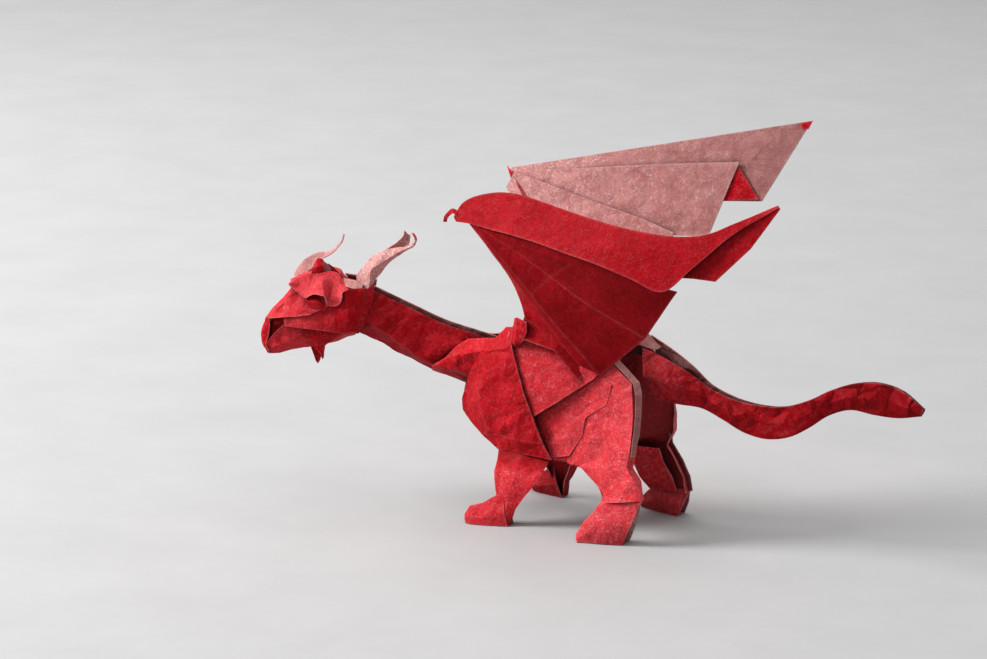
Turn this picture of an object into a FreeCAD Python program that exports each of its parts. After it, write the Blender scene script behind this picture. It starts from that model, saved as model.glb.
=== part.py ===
import FreeCAD, Part
import math
import os

from FreeCAD import Vector

# A dragon folded from one sheet of fibrous craft paper, standing on four feet.
# The head points to -X, the tail to +X, its left side to -Y, and up is +Z. Sizes are mm.
# Each flap of the sheet is laid out as lines of fold points and given the paper's
# thickness; all flaps run into one another, so the dragon is a single solid.

# ---- the paper ----
paper = 0.3                    # thickness of the sheet
raw_edge = 0.7                 # how far one raw edge stands above the other at a seam
sharpest_fold = 0.55           # least cosine, facet to mean, to which a fold keeps its thickness

# ---- torso ----
body_length = 49.0             # front of the chest to the back of the haunches
belly_height = 16.5            # lower edge of the flanks above the table
body_height = 29.9             # lower edge of the flanks to the ridge of the back
body_half_width = 9.6          # middle of the dragon to its flank

# ---- legs and feet ----
fore_leg_place = 0.38          # fore leg behind the chest, as a share of body_length
hind_leg_place = 0.86          # hind leg behind the chest, as a share of body_length
fore_leg_width = 14.0          # front to back where the leg leaves the flank
hind_leg_width = 16.0
stance_half_width = 14.0       # middle of the dragon to the middle of a foot
foot_half_width = 2.0          # half of a foot across its sole
foot_bulge = 0.85              # half width at the crease along a foot's side, as a share
foot_crease = 0.45             # height of that crease, as a share of the fold above it
ridge_width = 0.5              # the rounded top of a foot's fold
sole_height = 0.3              # thickness of the paper turned under each foot

# ---- neck and head ----
neck_length = 25.0             # chest to the back of the head, measured level
neck_rise = 9.5                # climb of the neck over that length
neck_depth = 13.0              # keel to crest
neck_half_width = 3.6
neck_yaw = 16.0                # degrees that the neck turns to the dragon's left
head_length = 26.0
head_height = 21.0
head_half_width = 4.5
head_drop = 3.7                # chin below the keel of the neck, where the two meet
head_yaw = 25.0                # degrees that the head turns to the dragon's left

# ---- tail ----
tail_length = 70.0             # rump to tip
tail_root_depth = 15.0         # crest to keel where the tail leaves the rump
tail_half_width = 4.6          # at the root
tail_taper = 0.3               # share of the tail over which it narrows to a blade
tail_flatness = 0.17           # half width of the blade, as a share of the root's
tail_overlap = 1.9             # how far the right wall stands above the left one at the root
tail_overlap_taper = 0.45      # share of the tail over which that overlap runs out
tail_stations = 22             # cross sections along the tail
neck_stations = 9              # cross sections along the neck
horn_stations = 12             # along a horn or the curled brow strip

# ---- wings ----
wing_span = 80.0               # along the wing's edge, from above the shoulder to the tip
wing_rise = 30.0               # shoulder to the wrist
wing_lean = 11.0               # how far the left wing's fold stands out from the flank
far_wing_lean = 5.0            # the right wing stands more upright
far_wing_lift = 19.0           # the right wing is raised by this much more at its tip
band_stations = 18             # along the waved band on top of the left wing

left, right = -1, 1


# ---------------------------------------------------------------- making a sheet

def triangle_normal(a, b, c):
    normal = (b - a).cross(c - a)
    return normal.normalize() if normal.Length > 1e-9 else None


def cell_triangles(rows, i, j):
    """The two triangles of the cell that starts at row i, column j."""
    a, b = (i, j), (i, j + 1)
    c, d = (i + 1, j + 1), (i + 1, j)
    across_ac = rows[i][j].distanceToPoint(rows[i + 1][j + 1])
    across_bd = rows[i][j + 1].distanceToPoint(rows[i + 1][j])
    pairs = [(a, b, c), (a, c, d)] if across_ac <= across_bd else [(a, b, d), (b, c, d)]
    return [t for t in pairs if triangle_normal(*[rows[p][q] for p, q in t])]


def offset_directions(rows, triangles):
    """At each fold point, the way to move so that every facet there moves by about 1."""
    normals = {}
    for triangle in triangles:
        normal = triangle_normal(*[rows[p][q] for p, q in triangle])
        for corner in triangle:
            normals.setdefault(corner, []).append(normal)
    directions = {}
    for corner, facing in normals.items():
        mean = Vector(0, 0, 0)
        for normal in facing:
            mean = mean + normal
        mean.normalize()
        least = min(mean.dot(normal) for normal in facing)
        directions[corner] = mean * (1 / max(least, sharpest_fold))
    return directions


def triangle_face(a, b, c):
    return Part.Face(Part.makePolygon([a, b, c, a]))


def rim_edges(triangles):
    """Edges that only one triangle uses: the raw edge of the paper."""
    used = set()
    for a, b, c in triangles:
        used.update([(a, b), (b, c), (c, a)])
    return [(a, b) for a, b in used if (b, a) not in used]


def folded_sheet(rows, thickness=paper):
    """A closed solid of even thickness about the facets between rows of fold points."""
    cells = [(i, j) for i in range(len(rows) - 1) for j in range(len(rows[0]) - 1)]
    triangles = [t for i, j in cells for t in cell_triangles(rows, i, j)]
    directions = offset_directions(rows, triangles)
    outer = {k: rows[k[0]][k[1]] + d * (thickness / 2) for k, d in directions.items()}
    inner = {k: rows[k[0]][k[1]] - d * (thickness / 2) for k, d in directions.items()}
    faces = []
    for a, b, c in triangles:
        faces.append(triangle_face(outer[a], outer[b], outer[c]))
        faces.append(triangle_face(inner[c], inner[b], inner[a]))
    for a, b in rim_edges(triangles):
        faces.append(triangle_face(outer[a], inner[a], inner[b]))
        faces.append(triangle_face(outer[a], inner[b], outer[b]))
    shell = Part.makeShell(faces)
    shell.sewShape()
    solid = Part.makeSolid(shell)
    if solid.Volume < 0:
        solid.reverse()
    return solid


def one_side(place, shares, side):
    """A row of fold points from shares (along, out, up) of one part of the dragon."""
    return [place(*share, side) for share in shares]


def both_sides(place, shares):
    """A row from the left edge to the right one, from shares that end at the middle."""
    return one_side(place, shares, left) + one_side(place, shares[-2::-1], right)


def sheet_on(place, table, side):
    return folded_sheet([one_side(place, shares, side) for shares in table])


def sheet_over(place, table):
    return folded_sheet([both_sides(place, shares) for shares in table])


def curve_stations(points, count):
    """Evenly spaced points along a smooth curve through the given ones."""
    curve = Part.BSplineCurve()
    curve.interpolate(points)
    return curve.discretize(Number=count)


def curved_down(rows, count):
    """The same sheet with each line from row to row made into a smooth curve."""
    lines = [curve_stations([row[i] for row in rows], count) for i in range(len(rows[0]))]
    return [[line[j] for line in lines] for j in range(count)]


def curved_sheet(place, table, side, count):
    return folded_sheet(curved_down([one_side(place, shares, side) for shares in table], count))


# ------------------------------------------------- where each part of the dragon is

def turned(degrees):
    """Forward and leftward directions, level, for something that faces -X turned left."""
    a = math.radians(degrees)
    return Vector(-math.cos(a), -math.sin(a), 0), Vector(math.sin(a), -math.cos(a), 0)


def torso(along, out, up, side=left):
    """along: chest 0 to haunch 1. out: middle 0 to flank 1. up: belly 0 to back 1."""
    return Vector(along * body_length, side * out * body_half_width, belly_height + up * body_height)


def leg(place, width, along, out, up, side=left):
    """along: shares of the leg's width from its middle. out: 1 over the foot. up: 1 at the belly."""
    x = place * body_length + along * width
    return Vector(x, side * out * stance_half_width, up * belly_height)


def fore(along, out, up, side=left):
    return leg(fore_leg_place, fore_leg_width, along, out, up, side)


def hind(along, out, up, side=left):
    return leg(hind_leg_place, hind_leg_width, along, out, up, side)


neck_base = torso(0.02, 0, 0.44)


def neck(along, out, up, side=left):
    """along: chest 0 to head 1. out: middle 0 to side 1. up: keel 0 to crest 1."""
    forward, leftward = turned(neck_yaw)
    level = forward * (along * neck_length) - leftward * (side * out * neck_half_width)
    return neck_base + level + Vector(0, 0, along * neck_rise + up * neck_depth)


def head(along, out, up, side=left):
    """along: nape 0 to nose 1. out: middle 0 to cheek 1. up: chin 0 to brow 1."""
    forward, leftward = turned(head_yaw)
    nape = neck(1, 0, 0)
    level = forward * (along * head_length) - leftward * (side * out * head_half_width)
    return nape + level + Vector(0, 0, up * head_height - head_drop)


tail_root = torso(0.96, 0, 0.45)


def tail(along, out, up, side=left):
    """along: rump 0 to tip 1. out: middle 0 to side 1. up: keel 0 to crest 1 at the root."""
    level = Vector(along * tail_length, side * out * tail_half_width, 0)
    return tail_root + level + Vector(0, 0, up * tail_root_depth)


wing_root = torso(0.4, 0.97, 1)


def left_wing(along, out, up):
    """along: shares of the span behind the shoulder. out: flank 0 to fold 1. up: wrist 1."""
    return wing_root + Vector(along * wing_span, -out * wing_lean, up * wing_rise)


def right_wing(along, out, up):
    """The right wing leans less, and its outer end is carried higher."""
    raised = Vector(0, 0, along * far_wing_lift)
    foot = Vector(wing_root.x, -wing_root.y, wing_root.z)
    return foot + Vector(along * wing_span, out * far_wing_lean, up * wing_rise) + raised


# ------------------------------------------------------------------------- the flaps
# Fold points are shares (along, out, up) of the part of the dragon that they lie on.

def chest():
    """Wraps the front of the body. Its back edges are the long pleats over the flanks."""
    return [sheet_over(torso, [
        [(0.29, 0.57, 0.99), (0.25, 0.52, 0.98), (0.21, 0.42, 0.92), (0.18, 0.36, 0.86),
         (0.10, 0, 0.50)],
        [(0.33, 0.97, 0.86), (0.25, 0.86, 0.82), (0.19, 0.78, 0.79), (0.13, 0.63, 0.78),
         (0.06, 0, 0.46)],
        [(0.38, 1.08, 0.66), (0.29, 1.00, 0.62), (0.17, 0.86, 0.60), (0.06, 0.58, 0.58),
         (-0.03, 0, 0.44)],
        [(0.43, 1.14, 0.46), (0.34, 1.10, 0.43), (0.15, 0.90, 0.38), (0, 0.42, 0.33), (-0.04, 0, 0.33)],
        [(0.48, 1.16, 0.27), (0.36, 1.15, 0.28), (0.17, 0.90, 0.24), (0, 0.42, 0.24), (-0.04, 0, 0.23)],
        [(0.52, 1.14, 0.13), (0.36, 1.12, 0.13), (0.22, 0.90, 0.12), (0.13, 0.66, 0.08),
         (0.08, 0, 0.10)],
        [(0.56, 1.08, 0), (0.40, 1.05, 0.01), (0.30, 0.97, 0.02), (0.24, 0.84, 0), (0.20, 0, 0.02)],
    ])]


def back():
    """The roof over the back and the triangle of flank under each wing."""
    return [sheet_over(torso, [
        [(0.30, 0.99, 0.45), (0.29, 0.92, 0.78), (0.28, 0.62, 0.96), (0.27, 0, 1.00)],
        [(0.46, 1.09, 0.33), (0.45, 0.98, 0.70), (0.45, 0.80, 0.95), (0.45, 0, 1.00)],
        [(0.61, 1.08, 0.50), (0.60, 1.00, 0.77), (0.60, 0.80, 0.95), (0.60, 0, 0.99)],
        [(0.78, 1.03, 0.70), (0.79, 0.95, 0.82), (0.80, 0.68, 0.95), (0.80, 0, 1.00)],
        [(0.86, 0.82, 0.87), (0.88, 0.66, 0.93), (0.90, 0.40, 1.00), (0.92, 0, 1.03)],
    ])]


def hind_quarter(side):
    """Lower flank and thigh with the shin in one sheet that wraps round the leg, and the foot."""
    flank = [
        [(0.42, 0.90, 0.44), (0.60, 0.92, 0.58), (0.77, 0.93, 0.75), (0.83, 0.84, 0.86),
         (0.975, 0.96, 0.70), (0.985, 0.80, 0.71)],
        [(0.46, 0.93, 0.25), (0.62, 0.96, 0.36), (0.75, 0.99, 0.50), (0.86, 0.99, 0.58),
         (1.00, 1.12, 0.46), (1.02, 0.94, 0.47)],
        [(0.50, 0.95, 0.10), (0.64, 0.97, 0.18), (0.71, 1.01, 0.25), (0.84, 1.05, 0.30),
         (1.005, 1.24, 0.31), (1.02, 1.00, 0.32)],
        [(0.55, 0.97, 0), (0.63, 0.97, -0.01), (0.69, 1.05, -0.02), (0.82, 1.12, 0.06),
         (1.00, 1.30, 0.16), (1.01, 1.02, 0.17)],
    ]
    hem = sheet_on(torso, [
        [(0.40, 0.94, 0.05), (0.52, 0.98, 0.04), (0.62, 0.98, 0.03)],
        [(0.38, 0.35, 0.10), (0.54, 0.30, 0.10), (0.70, 0.35, 0.10)],
    ], side)
    patch = sheet_on(torso, [
        [(0.50, 0.91, 0.20), (0.56, 0.92, 0.30), (0.62, 0.93, 0.41), (0.70, 0.93, 0.55),
         (0.80, 0.91, 0.70)],
        [(0.53, 0.985, 0.10), (0.62, 1.00, 0.20), (0.67, 1.01, 0.30), (0.75, 1.02, 0.45),
         (0.87, 1.00, 0.67)],
        [(0.55, 1.01, 0.01), (0.65, 1.05, 0.05), (0.72, 1.07, 0.23), (0.735, 1.05, 0.38),
         (0.85, 1.05, 0.51)],
    ], side)
    lip = sheet_on(torso, [
        [(0.80, 0.91, 0.80), (0.84, 0.87, 0.88), (0.985, 0.98, 0.70), (1.005, 1.05, 0.62),
         (1.015, 1.15, 0.44)],
        [(0.83, 0.82, 0.82), (0.86, 0.76, 0.90), (1.01, 0.88, 0.71), (1.03, 0.94, 0.62),
         (1.035, 1.04, 0.44)],
    ], side)
    shin, end, foot_sections = left_shin() if side == left else right_shin()
    sheet = folded_sheet([one_side(torso, shares, side) for shares in flank]
                         + [one_side(hind, shares, side) for shares in shin])
    return [sheet, hem, patch, lip, end] + foot(hind, side, foot_sections)


def left_shin():
    """Fold points of the left shin, the lower end of its lip, and the sections of its foot."""
    shin = [
        [(0.25, 0.62, 1.04), (-0.30, 0.62, 0.93), (-0.38, 0.80, 0.96), (0, 0.85, 1.02),
         (0.38, 0.89, 1.10), (0.43, 0.74, 1.07)],
        [(0.30, 0.70, 0.83), (-0.02, 0.76, 0.75), (-0.09, 0.88, 0.76), (0.22, 0.95, 0.81),
         (0.54, 0.95, 0.91), (0.58, 0.78, 0.90)],
        [(0.45, 0.78, 0.74), (0.06, 0.84, 0.64), (0.01, 0.96, 0.65), (0.32, 1.01, 0.70),
         (0.63, 0.96, 0.78), (0.62, 0.84, 0.77)],
        [(0.52, 0.84, 0.62), (0.10, 0.92, 0.55), (0.05, 1.03, 0.56), (0.34, 1.05, 0.61),
         (0.67, 0.96, 0.66), (0.65, 0.86, 0.66)],
    ]
    end = sheet_on(torso, [
        [(1.015, 1.14, 0.46), (1.015, 1.24, 0.31), (1.008, 1.31, 0.14)],
        [(1.035, 1.03, 0.46), (1.035, 1.12, 0.31), (1.02, 1.22, 0.14)],
    ], left)
    return shin, end, [
        ((0.42, 0.96, 1.00), (0.66, 0.93, 0.68)),
        ((0.15, 1.06, 1.00), (0.04, 1.01, 0.58)),
        ((-0.22, 1.22, 0.70), (-0.29, 1.20, 0.09)),
    ]


def right_shin():
    """The same for the right leg, which is wider, with a lip all the way down its back."""
    shin = [
        [(0.25, 0.62, 1.04), (-0.30, 0.62, 0.93), (-0.38, 0.78, 0.95), (-0.05, 0.87, 1.00),
         (0.30, 0.91, 1.06), (0.34, 0.74, 1.07)],
        [(0.30, 0.70, 0.83), (-0.20, 0.74, 0.74), (-0.30, 0.84, 0.76), (0.10, 0.92, 0.80),
         (0.45, 0.93, 0.84), (0.47, 0.78, 0.84)],
        [(0.40, 0.78, 0.60), (-0.15, 0.82, 0.52), (-0.22, 0.92, 0.54), (0.15, 1.00, 0.56),
         (0.57, 0.96, 0.60), (0.57, 0.84, 0.60)],
        [(0.45, 0.84, 0.38), (-0.04, 0.92, 0.34), (-0.12, 1.02, 0.36), (0.20, 1.05, 0.35),
         (0.63, 0.98, 0.36), (0.61, 0.86, 0.36)],
    ]
    end = sheet_on(hind, [
        [(0.29, 0.88, 1.24), (0.29, 0.90, 1.08), (0.44, 0.92, 0.86), (0.56, 0.95, 0.62),
         (0.63, 0.97, 0.38)],
        [(0.37, 0.82, 1.24), (0.38, 0.84, 1.10), (0.54, 0.87, 0.86), (0.65, 0.90, 0.62),
         (0.68, 0.92, 0.40)],
    ], right)
    return shin, end, [
        ((0.48, 0.98, 1.00), (0.63, 0.96, 0.40)),
        ((0.18, 1.06, 1.00), (0.02, 1.03, 0.40)),
        ((-0.22, 1.17, 0.70), (-0.29, 1.16, 0.09)),
    ]


def fore_leg(side):
    """The shin comes down from under the chest, and the foot forward out of the shin."""
    shin = sheet_on(fore, [
        [(0.50, 0.50, 1.10), (0.60, 0.70, 1.08), (0.05, 0.74, 1.10), (-0.43, 0.68, 1.10),
         (-0.30, 0.50, 1.10)],
        [(0.36, 0.64, 0.76), (0.45, 0.80, 0.76), (0, 0.87, 0.74), (-0.43, 0.82, 0.72),
         (-0.30, 0.68, 0.72)],
        [(0.20, 0.74, 0.54), (0.29, 0.88, 0.54), (-0.05, 0.94, 0.49), (-0.37, 0.88, 0.47),
         (-0.28, 0.76, 0.47)],
        [(0.02, 0.88, 0.25), (0.07, 0.98, 0.25), (-0.08, 1.02, 0.23), (-0.26, 0.99, 0.22),
         (-0.20, 0.89, 0.22)],
        [(-0.04, 0.92, 0.02), (-0.01, 1.04, 0.02), (-0.07, 1.08, 0.02), (-0.15, 1.08, 0.02),
         (-0.13, 0.94, 0.02)],
    ], side)
    return [shin] + foot(fore, side, [
        ((-0.02, 0.98, 0.80), (-0.20, 0.90, 0.47)),
        ((-0.42, 1.08, 1.00), (-0.57, 0.99, 0.27)),
        ((-0.64, 1.14, 0.90), (-0.75, 1.06, 0.22)),
        ((-0.74, 1.18, 0.50), (-0.82, 1.13, 0.11)),
    ])


def foot(place, side, sections):
    """A folded roof over a flat sole. A section is (along, out, width) of the sole at a
    place along the foot, and (along, out, up) of the crease above it."""
    half = foot_half_width / stance_half_width
    crease = ridge_width / 2 / stance_half_width
    lift = sole_height / 2 / belly_height
    rows = []
    for (along, out, width), (crease_along, crease_out, crease_up) in sections:
        side_along = (along + crease_along) / 2
        side_out = (out + crease_out) / 2
        bulge = width * half * foot_bulge
        rows.append(one_side(place, [
            (along, out + width * half, lift),
            (side_along, side_out + bulge, crease_up * foot_crease),
            (crease_along, crease_out + crease, crease_up),
            (crease_along, crease_out - crease, crease_up),
            (side_along, side_out - bulge, crease_up * foot_crease),
            (along, out - width * half, lift)], side))
    outline = [row[0] for row in rows] + [row[-1] for row in reversed(rows)]
    level = [Vector(p.x, p.y, 0) for p in outline]
    sole = Part.Face(Part.makePolygon(level + level[:1])).extrude(Vector(0, 0, sole_height))
    return [folded_sheet(rows), sole]


def neck_tube():
    """The folded neck. Its right wall stands above the left one along the crest."""
    left_half = [
        [(-0.30, 0.20, 1.00), (-0.15, 1.30, 0.60), (-0.02, 1.30, 0.30), (0.05, 0, 0.05)],
        [(-0.04, 0.20, 0.95), (0.19, 0.70, 0.52), (0.34, 0.80, 0.08), (0.40, 0, -0.10)],
        [(0.30, 0.20, 0.88), (0.36, 0.70, 0.50), (0.46, 0.90, 0.08), (0.52, 0, -0.10)],
        [(0.62, 0.20, 0.90), (0.66, 0.75, 0.58), (0.72, 0.95, 0.22), (0.78, 0, -0.04)],
        [(1.00, 0.20, 0.93), (1.03, 0.80, 0.65), (1.06, 0.95, 0.40), (1.16, 0, 0)],
    ]
    rows = []
    for shares in left_half:
        row = both_sides(neck, shares)
        rows.append(row[:-1] + [row[-1] + Vector(0, 0, raw_edge)])
    return [folded_sheet(curved_down(rows, neck_stations))]


def collar():
    """Laps over the foot of the neck and runs back to the shoulders. It is open on top."""
    front = [(0.05, 0.55, 0.83), (0.17, 0.90, 0.55), (0.26, 1.10, 0.32), (0.38, 1.20, 0.08), (0.42, 0, -0.12)]
    rear = [(0.20, 0.36, 0.87), (0.17, 0.50, 0.82), (0.14, 0.62, 0.77), (0.05, 0.54, 0.57), (-0.01, 0, 0.42)]
    return [folded_sheet([both_sides(neck, front), both_sides(torso, rear)])]


def tail_blade():
    """The tail: two walls folded along the keel, waving between two smooth edges."""
    crest_shares = [(0.00, 0.97), (0.13, 0.73), (0.27, 0.36), (0.39, 0.26), (0.53, 0.31),
                    (0.68, 0.66), (0.80, 0.85), (0.90, 0.83), (1.00, 0.54)]
    keel_shares = [(0.04, 0.12), (0.15, 0.09), (0.23, 0.07), (0.33, -0.16), (0.44, -0.26),
                   (0.55, -0.13), (0.66, 0.24), (0.76, 0.40), (0.86, 0.34), (0.99, 0.44)]
    crest = curve_stations([tail(along, 0, up) for along, up in crest_shares], tail_stations)
    keel = curve_stations([tail(along, 0, up) for along, up in keel_shares], tail_stations)
    rows = []
    for i in range(tail_stations):
        share = i / (tail_stations - 1)
        wall = Vector(0, tail_half_width * max(1 - share / tail_taper, tail_flatness), 0)
        overlap = Vector(0, 0, tail_overlap * max(1 - share / tail_overlap_taper, 0))
        middle = (crest[i] + keel[i]) / 2
        far_crest = crest[i] + wall / 2 + overlap
        rows.append([crest[i] - wall / 2, middle - wall, keel[i], middle + wall, far_crest])
    return [folded_sheet(rows)]


def rump():
    """The turned edge between the back, the haunches and the root of the tail."""
    return [sheet_over(torso, [
        [(0.83, 0.62, 0.84), (0.86, 0.53, 0.94), (0.91, 0.45, 1.00), (0.94, 0.20, 1.02),
         (0.94, 0, 1.03)],
        [(0.86, 0.56, 0.80), (0.89, 0.46, 0.90), (0.93, 0.36, 0.97), (1.02, 0.16, 0.92),
         (1.03, 0, 0.93)],
    ]), sheet_on(torso, [
        [(0.86, 0.10, 0.955), (0.90, 0.06, 1.035), (0.955, -0.04, 0.985)],
        [(0.86, 0.14, 0.86), (0.90, 0.12, 0.86), (0.985, 0.04, 0.85)],
    ], left)]


def skull():
    """Snout and crown in one fold, the rim of the nose, the palate, and the lower jaw."""
    snout = sheet_over(head, [
        [(0.97, 0.40, 0.41), (0.98, 0.18, 0.42), (0.99, 0, 0.42)],
        [(0.82, 0.78, 0.45), (0.85, 0.48, 0.57), (0.86, 0, 0.61)],
        [(0.70, 0.88, 0.46), (0.76, 0.52, 0.71), (0.77, 0, 0.74)],
        [(0.57, 0.98, 0.49), (0.57, 0.66, 0.80), (0.56, 0, 0.86)],
        [(0.40, 1.04, 0.60), (0.38, 0.75, 0.86), (0.37, 0, 0.92)],
        [(0.10, 0.80, 0.62), (0.08, 0.60, 0.78), (0.06, 0, 0.82)],
    ])
    nose = sheet_over(head, [
        [(0.97, 0.36, 0.42), (1.00, 0.20, 0.41), (0.99, 0, 0.42)],
        [(0.96, 0.40, 0.30), (1.02, 0.24, 0.31), (1.04, 0, 0.28)],
        [(0.98, 0.36, 0.18), (1.03, 0.22, 0.18), (1.05, 0, 0.18)],
        [(1.00, 0.32, 0.08), (1.02, 0.20, 0.07), (1.03, 0, 0.06)],
        [(0.97, 0.34, 0.02), (0.99, 0.20, -0.01), (0.96, 0, -0.03)],
    ])
    palate = sheet_over(head, [
        [(0.80, 0.36, 0.48), (0.90, 0.14, 0.46), (0.985, 0, 0.435)],
        [(0.80, 0.38, 0.36), (0.88, 0.14, 0.30), (0.97, 0, 0.28)],
        [(0.82, 0.40, 0.30), (0.91, 0.22, 0.16), (1.03, 0, 0.05)],
    ])
    jaw = sheet_over(head, [
        [(1.01, 0.26, 0.10), (0.99, 0.18, 0.02), (0.96, 0, -0.03)],
        [(0.93, 0.42, 0.22), (0.90, 0.42, 0.09), (0.88, 0, -0.02)],
        [(0.82, 0.52, 0.36), (0.76, 0.52, 0.16), (0.77, 0, 0.03)],
        [(0.60, 0.50, 0.38), (0.60, 0.54, 0.20), (0.61, 0, 0.06)],
        [(0.38, 0.56, 0.36), (0.41, 0.62, 0.21), (0.45, 0, 0.10)],
        [(0.14, 0.66, 0.34), (0.17, 0.66, 0.28), (0.17, 0, 0.22)],
    ])
    return [snout, nose, palate, jaw]


def face(side):
    """Cheek, nape, brow and eyelid of one side of the head, and the pale fold at the temple."""
    cheek = sheet_on(head, [
        [(0.83, 0.56, 0.46), (0.70, 0.70, 0.50), (0.57, 0.80, 0.54), (0.42, 0.90, 0.63),
         (0.25, 0.95, 0.80), (0.06, 0.90, 0.81)],
        [(0.82, 0.70, 0.40), (0.70, 0.82, 0.42), (0.56, 0.92, 0.42), (0.37, 1.00, 0.46),
         (0.22, 1.14, 0.54), (0.06, 0.93, 0.64)],
        [(0.82, 0.72, 0.34), (0.70, 0.86, 0.33), (0.57, 0.96, 0.32), (0.39, 1.06, 0.30),
         (0.25, 1.06, 0.28), (0.14, 0.90, 0.29)],
    ], side)
    nape = sheet_on(head, [
        [(0.08, 0.84, 0.80), (0.03, 0.80, 0.80), (-0.02, 0.60, 0.84)],
        [(0.08, 0.88, 0.64), (0.05, 0.84, 0.66), (0, 0.60, 0.68)],
        [(0.11, 0.86, 0.44), (0.08, 0.82, 0.50), (0.03, 0.60, 0.46)],
        [(0.18, 0.84, 0.29), (0.16, 0.80, 0.27), (0.13, 0.60, 0.26)],
    ], side)
    brow = sheet_on(head, [
        [(0.76, -0.10, 0.74), (0.72, -0.10, 0.76), (0.68, -0.10, 0.78), (0.60, -0.12, 0.82),
         (0.47, -0.12, 0.87), (0.39, -0.12, 0.88), (0.35, -0.12, 0.88), (0.30, -0.10, 0.86),
         (0.26, -0.10, 0.84), (0.18, -0.10, 0.80)],
        [(0.78, 0.50, 0.83), (0.73, 0.50, 0.86), (0.70, 0.50, 0.89), (0.60, 0.54, 0.94),
         (0.47, 0.56, 0.96), (0.39, 0.56, 0.98), (0.35, 0.56, 0.97), (0.31, 0.54, 0.95),
         (0.29, 0.58, 0.91), (0.23, 0.80, 0.83)],
        [(0.77, 0.60, 0.82), (0.64, 0.88, 0.70), (0.61, 0.94, 0.68), (0.53, 1.17, 0.74),
         (0.44, 1.22, 0.72), (0.39, 1.04, 0.60), (0.32, 1.14, 0.61), (0.28, 1.24, 0.67),
         (0.27, 1.14, 0.76), (0.21, 0.97, 0.79)],
    ], side)
    eyelid = sheet_on(head, [
        [(0.62, 0.60, 0.70), (0.52, 0.60, 0.76), (0.38, 0.66, 0.70)],
        [(0.61, 0.92, 0.66), (0.51, 1.08, 0.64), (0.41, 1.04, 0.57)],
        [(0.58, 0.92, 0.58), (0.50, 1.02, 0.57), (0.43, 1.00, 0.54)],
    ], side)
    temple = sheet_on(head, [
        [(0.27, 0.50, 0.90), (0.16, 0.52, 0.88), (0.08, 0.55, 0.85)],
        [(0.24, 0.91, 0.82), (0.16, 0.94, 0.80), (0.09, 0.90, 0.79)],
    ], side)
    return [cheek, nape, brow, eyelid, temple]


def horns():
    """Each horn is a strip folded along its length. The left one ends in a thin curl."""
    curled = [
        [(0.15, 0.40, 0.84), (0.06, 0.62, 0.74), (0.02, 0.50, 0.74)],
        [(0.14, 0.50, 0.95), (0.02, 0.88, 0.86), (-0.02, 0.62, 0.88)],
        [(0.07, 0.60, 1.06), (0, 0.95, 1.03), (-0.08, 0.75, 0.97)],
        [(-0.02, 0.70, 1.19), (-0.07, 1.00, 1.10), (-0.13, 0.85, 1.06)],
        [(-0.14, 0.80, 1.26), (-0.16, 1.05, 1.17), (-0.20, 0.95, 1.15)],
        [(-0.24, 0.95, 1.29), (-0.26, 1.12, 1.25), (-0.27, 1.05, 1.22)],
        [(-0.33, 1.05, 1.31), (-0.33, 1.15, 1.29), (-0.33, 1.10, 1.27)],
        [(-0.38, 1.08, 1.35), (-0.40, 1.14, 1.34), (-0.40, 1.10, 1.32)],
        [(-0.40, 1.08, 1.40), (-0.42, 1.12, 1.40), (-0.42, 1.10, 1.39)],
        [(-0.37, 1.05, 1.47), (-0.39, 1.08, 1.47), (-0.39, 1.06, 1.46)],
    ]
    broad = [
        [(0.12, 0.40, 0.82), (0.06, 0.60, 0.72), (0.02, 0.50, 0.74)],
        [(0.11, 0.50, 0.93), (0.04, 0.70, 0.86), (0, 0.60, 0.87)],
        [(0, 0.70, 1.10), (-0.03, 0.90, 1.00), (-0.07, 0.80, 0.97)],
        [(-0.12, 0.80, 1.19), (-0.14, 0.95, 1.10), (-0.17, 0.85, 1.07)],
        [(-0.22, 0.85, 1.28), (-0.24, 1.00, 1.17), (-0.27, 0.90, 1.15)],
        [(-0.27, 0.80, 1.35), (-0.29, 0.95, 1.26), (-0.32, 0.85, 1.25)],
        [(-0.28, 0.75, 1.41), (-0.31, 0.85, 1.36), (-0.33, 0.80, 1.35)],
    ]
    return [curved_sheet(head, curled, left, horn_stations), curved_sheet(head, broad, right, horn_stations)]


def spikes():
    """The two pointed flaps under the chin. The right one hangs lower and further forward."""
    near = [
        [(0.65, 0.66, 0.36), (0.39, 0.80, 0.34), (0.22, 0.78, 0.32)],
        [(0.62, 0.76, 0.25), (0.50, 0.80, 0.21), (0.38, 0.66, 0.17)],
        [(0.56, 0.66, 0.12), (0.51, 0.68, 0.08), (0.44, 0.54, 0.11)],
        [(0.50, 0.54, 0.01), (0.48, 0.54, -0.01), (0.45, 0.50, 0.04)],
        [(0.475, 0.48, -0.05), (0.465, 0.48, -0.06), (0.455, 0.47, -0.03)],
    ]
    far = [
        [(0.63, 0.62, 0.32), (0.44, 0.66, 0.31), (0.30, 0.66, 0.30)],
        [(0.60, 0.50, 0.04), (0.54, 0.54, 0.02), (0.48, 0.46, 0.04)],
        [(0.55, 0.46, -0.13), (0.53, 0.44, -0.16), (0.51, 0.42, -0.12)],
    ]
    return [sheet_on(head, near, left), sheet_on(head, far, right)]


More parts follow.
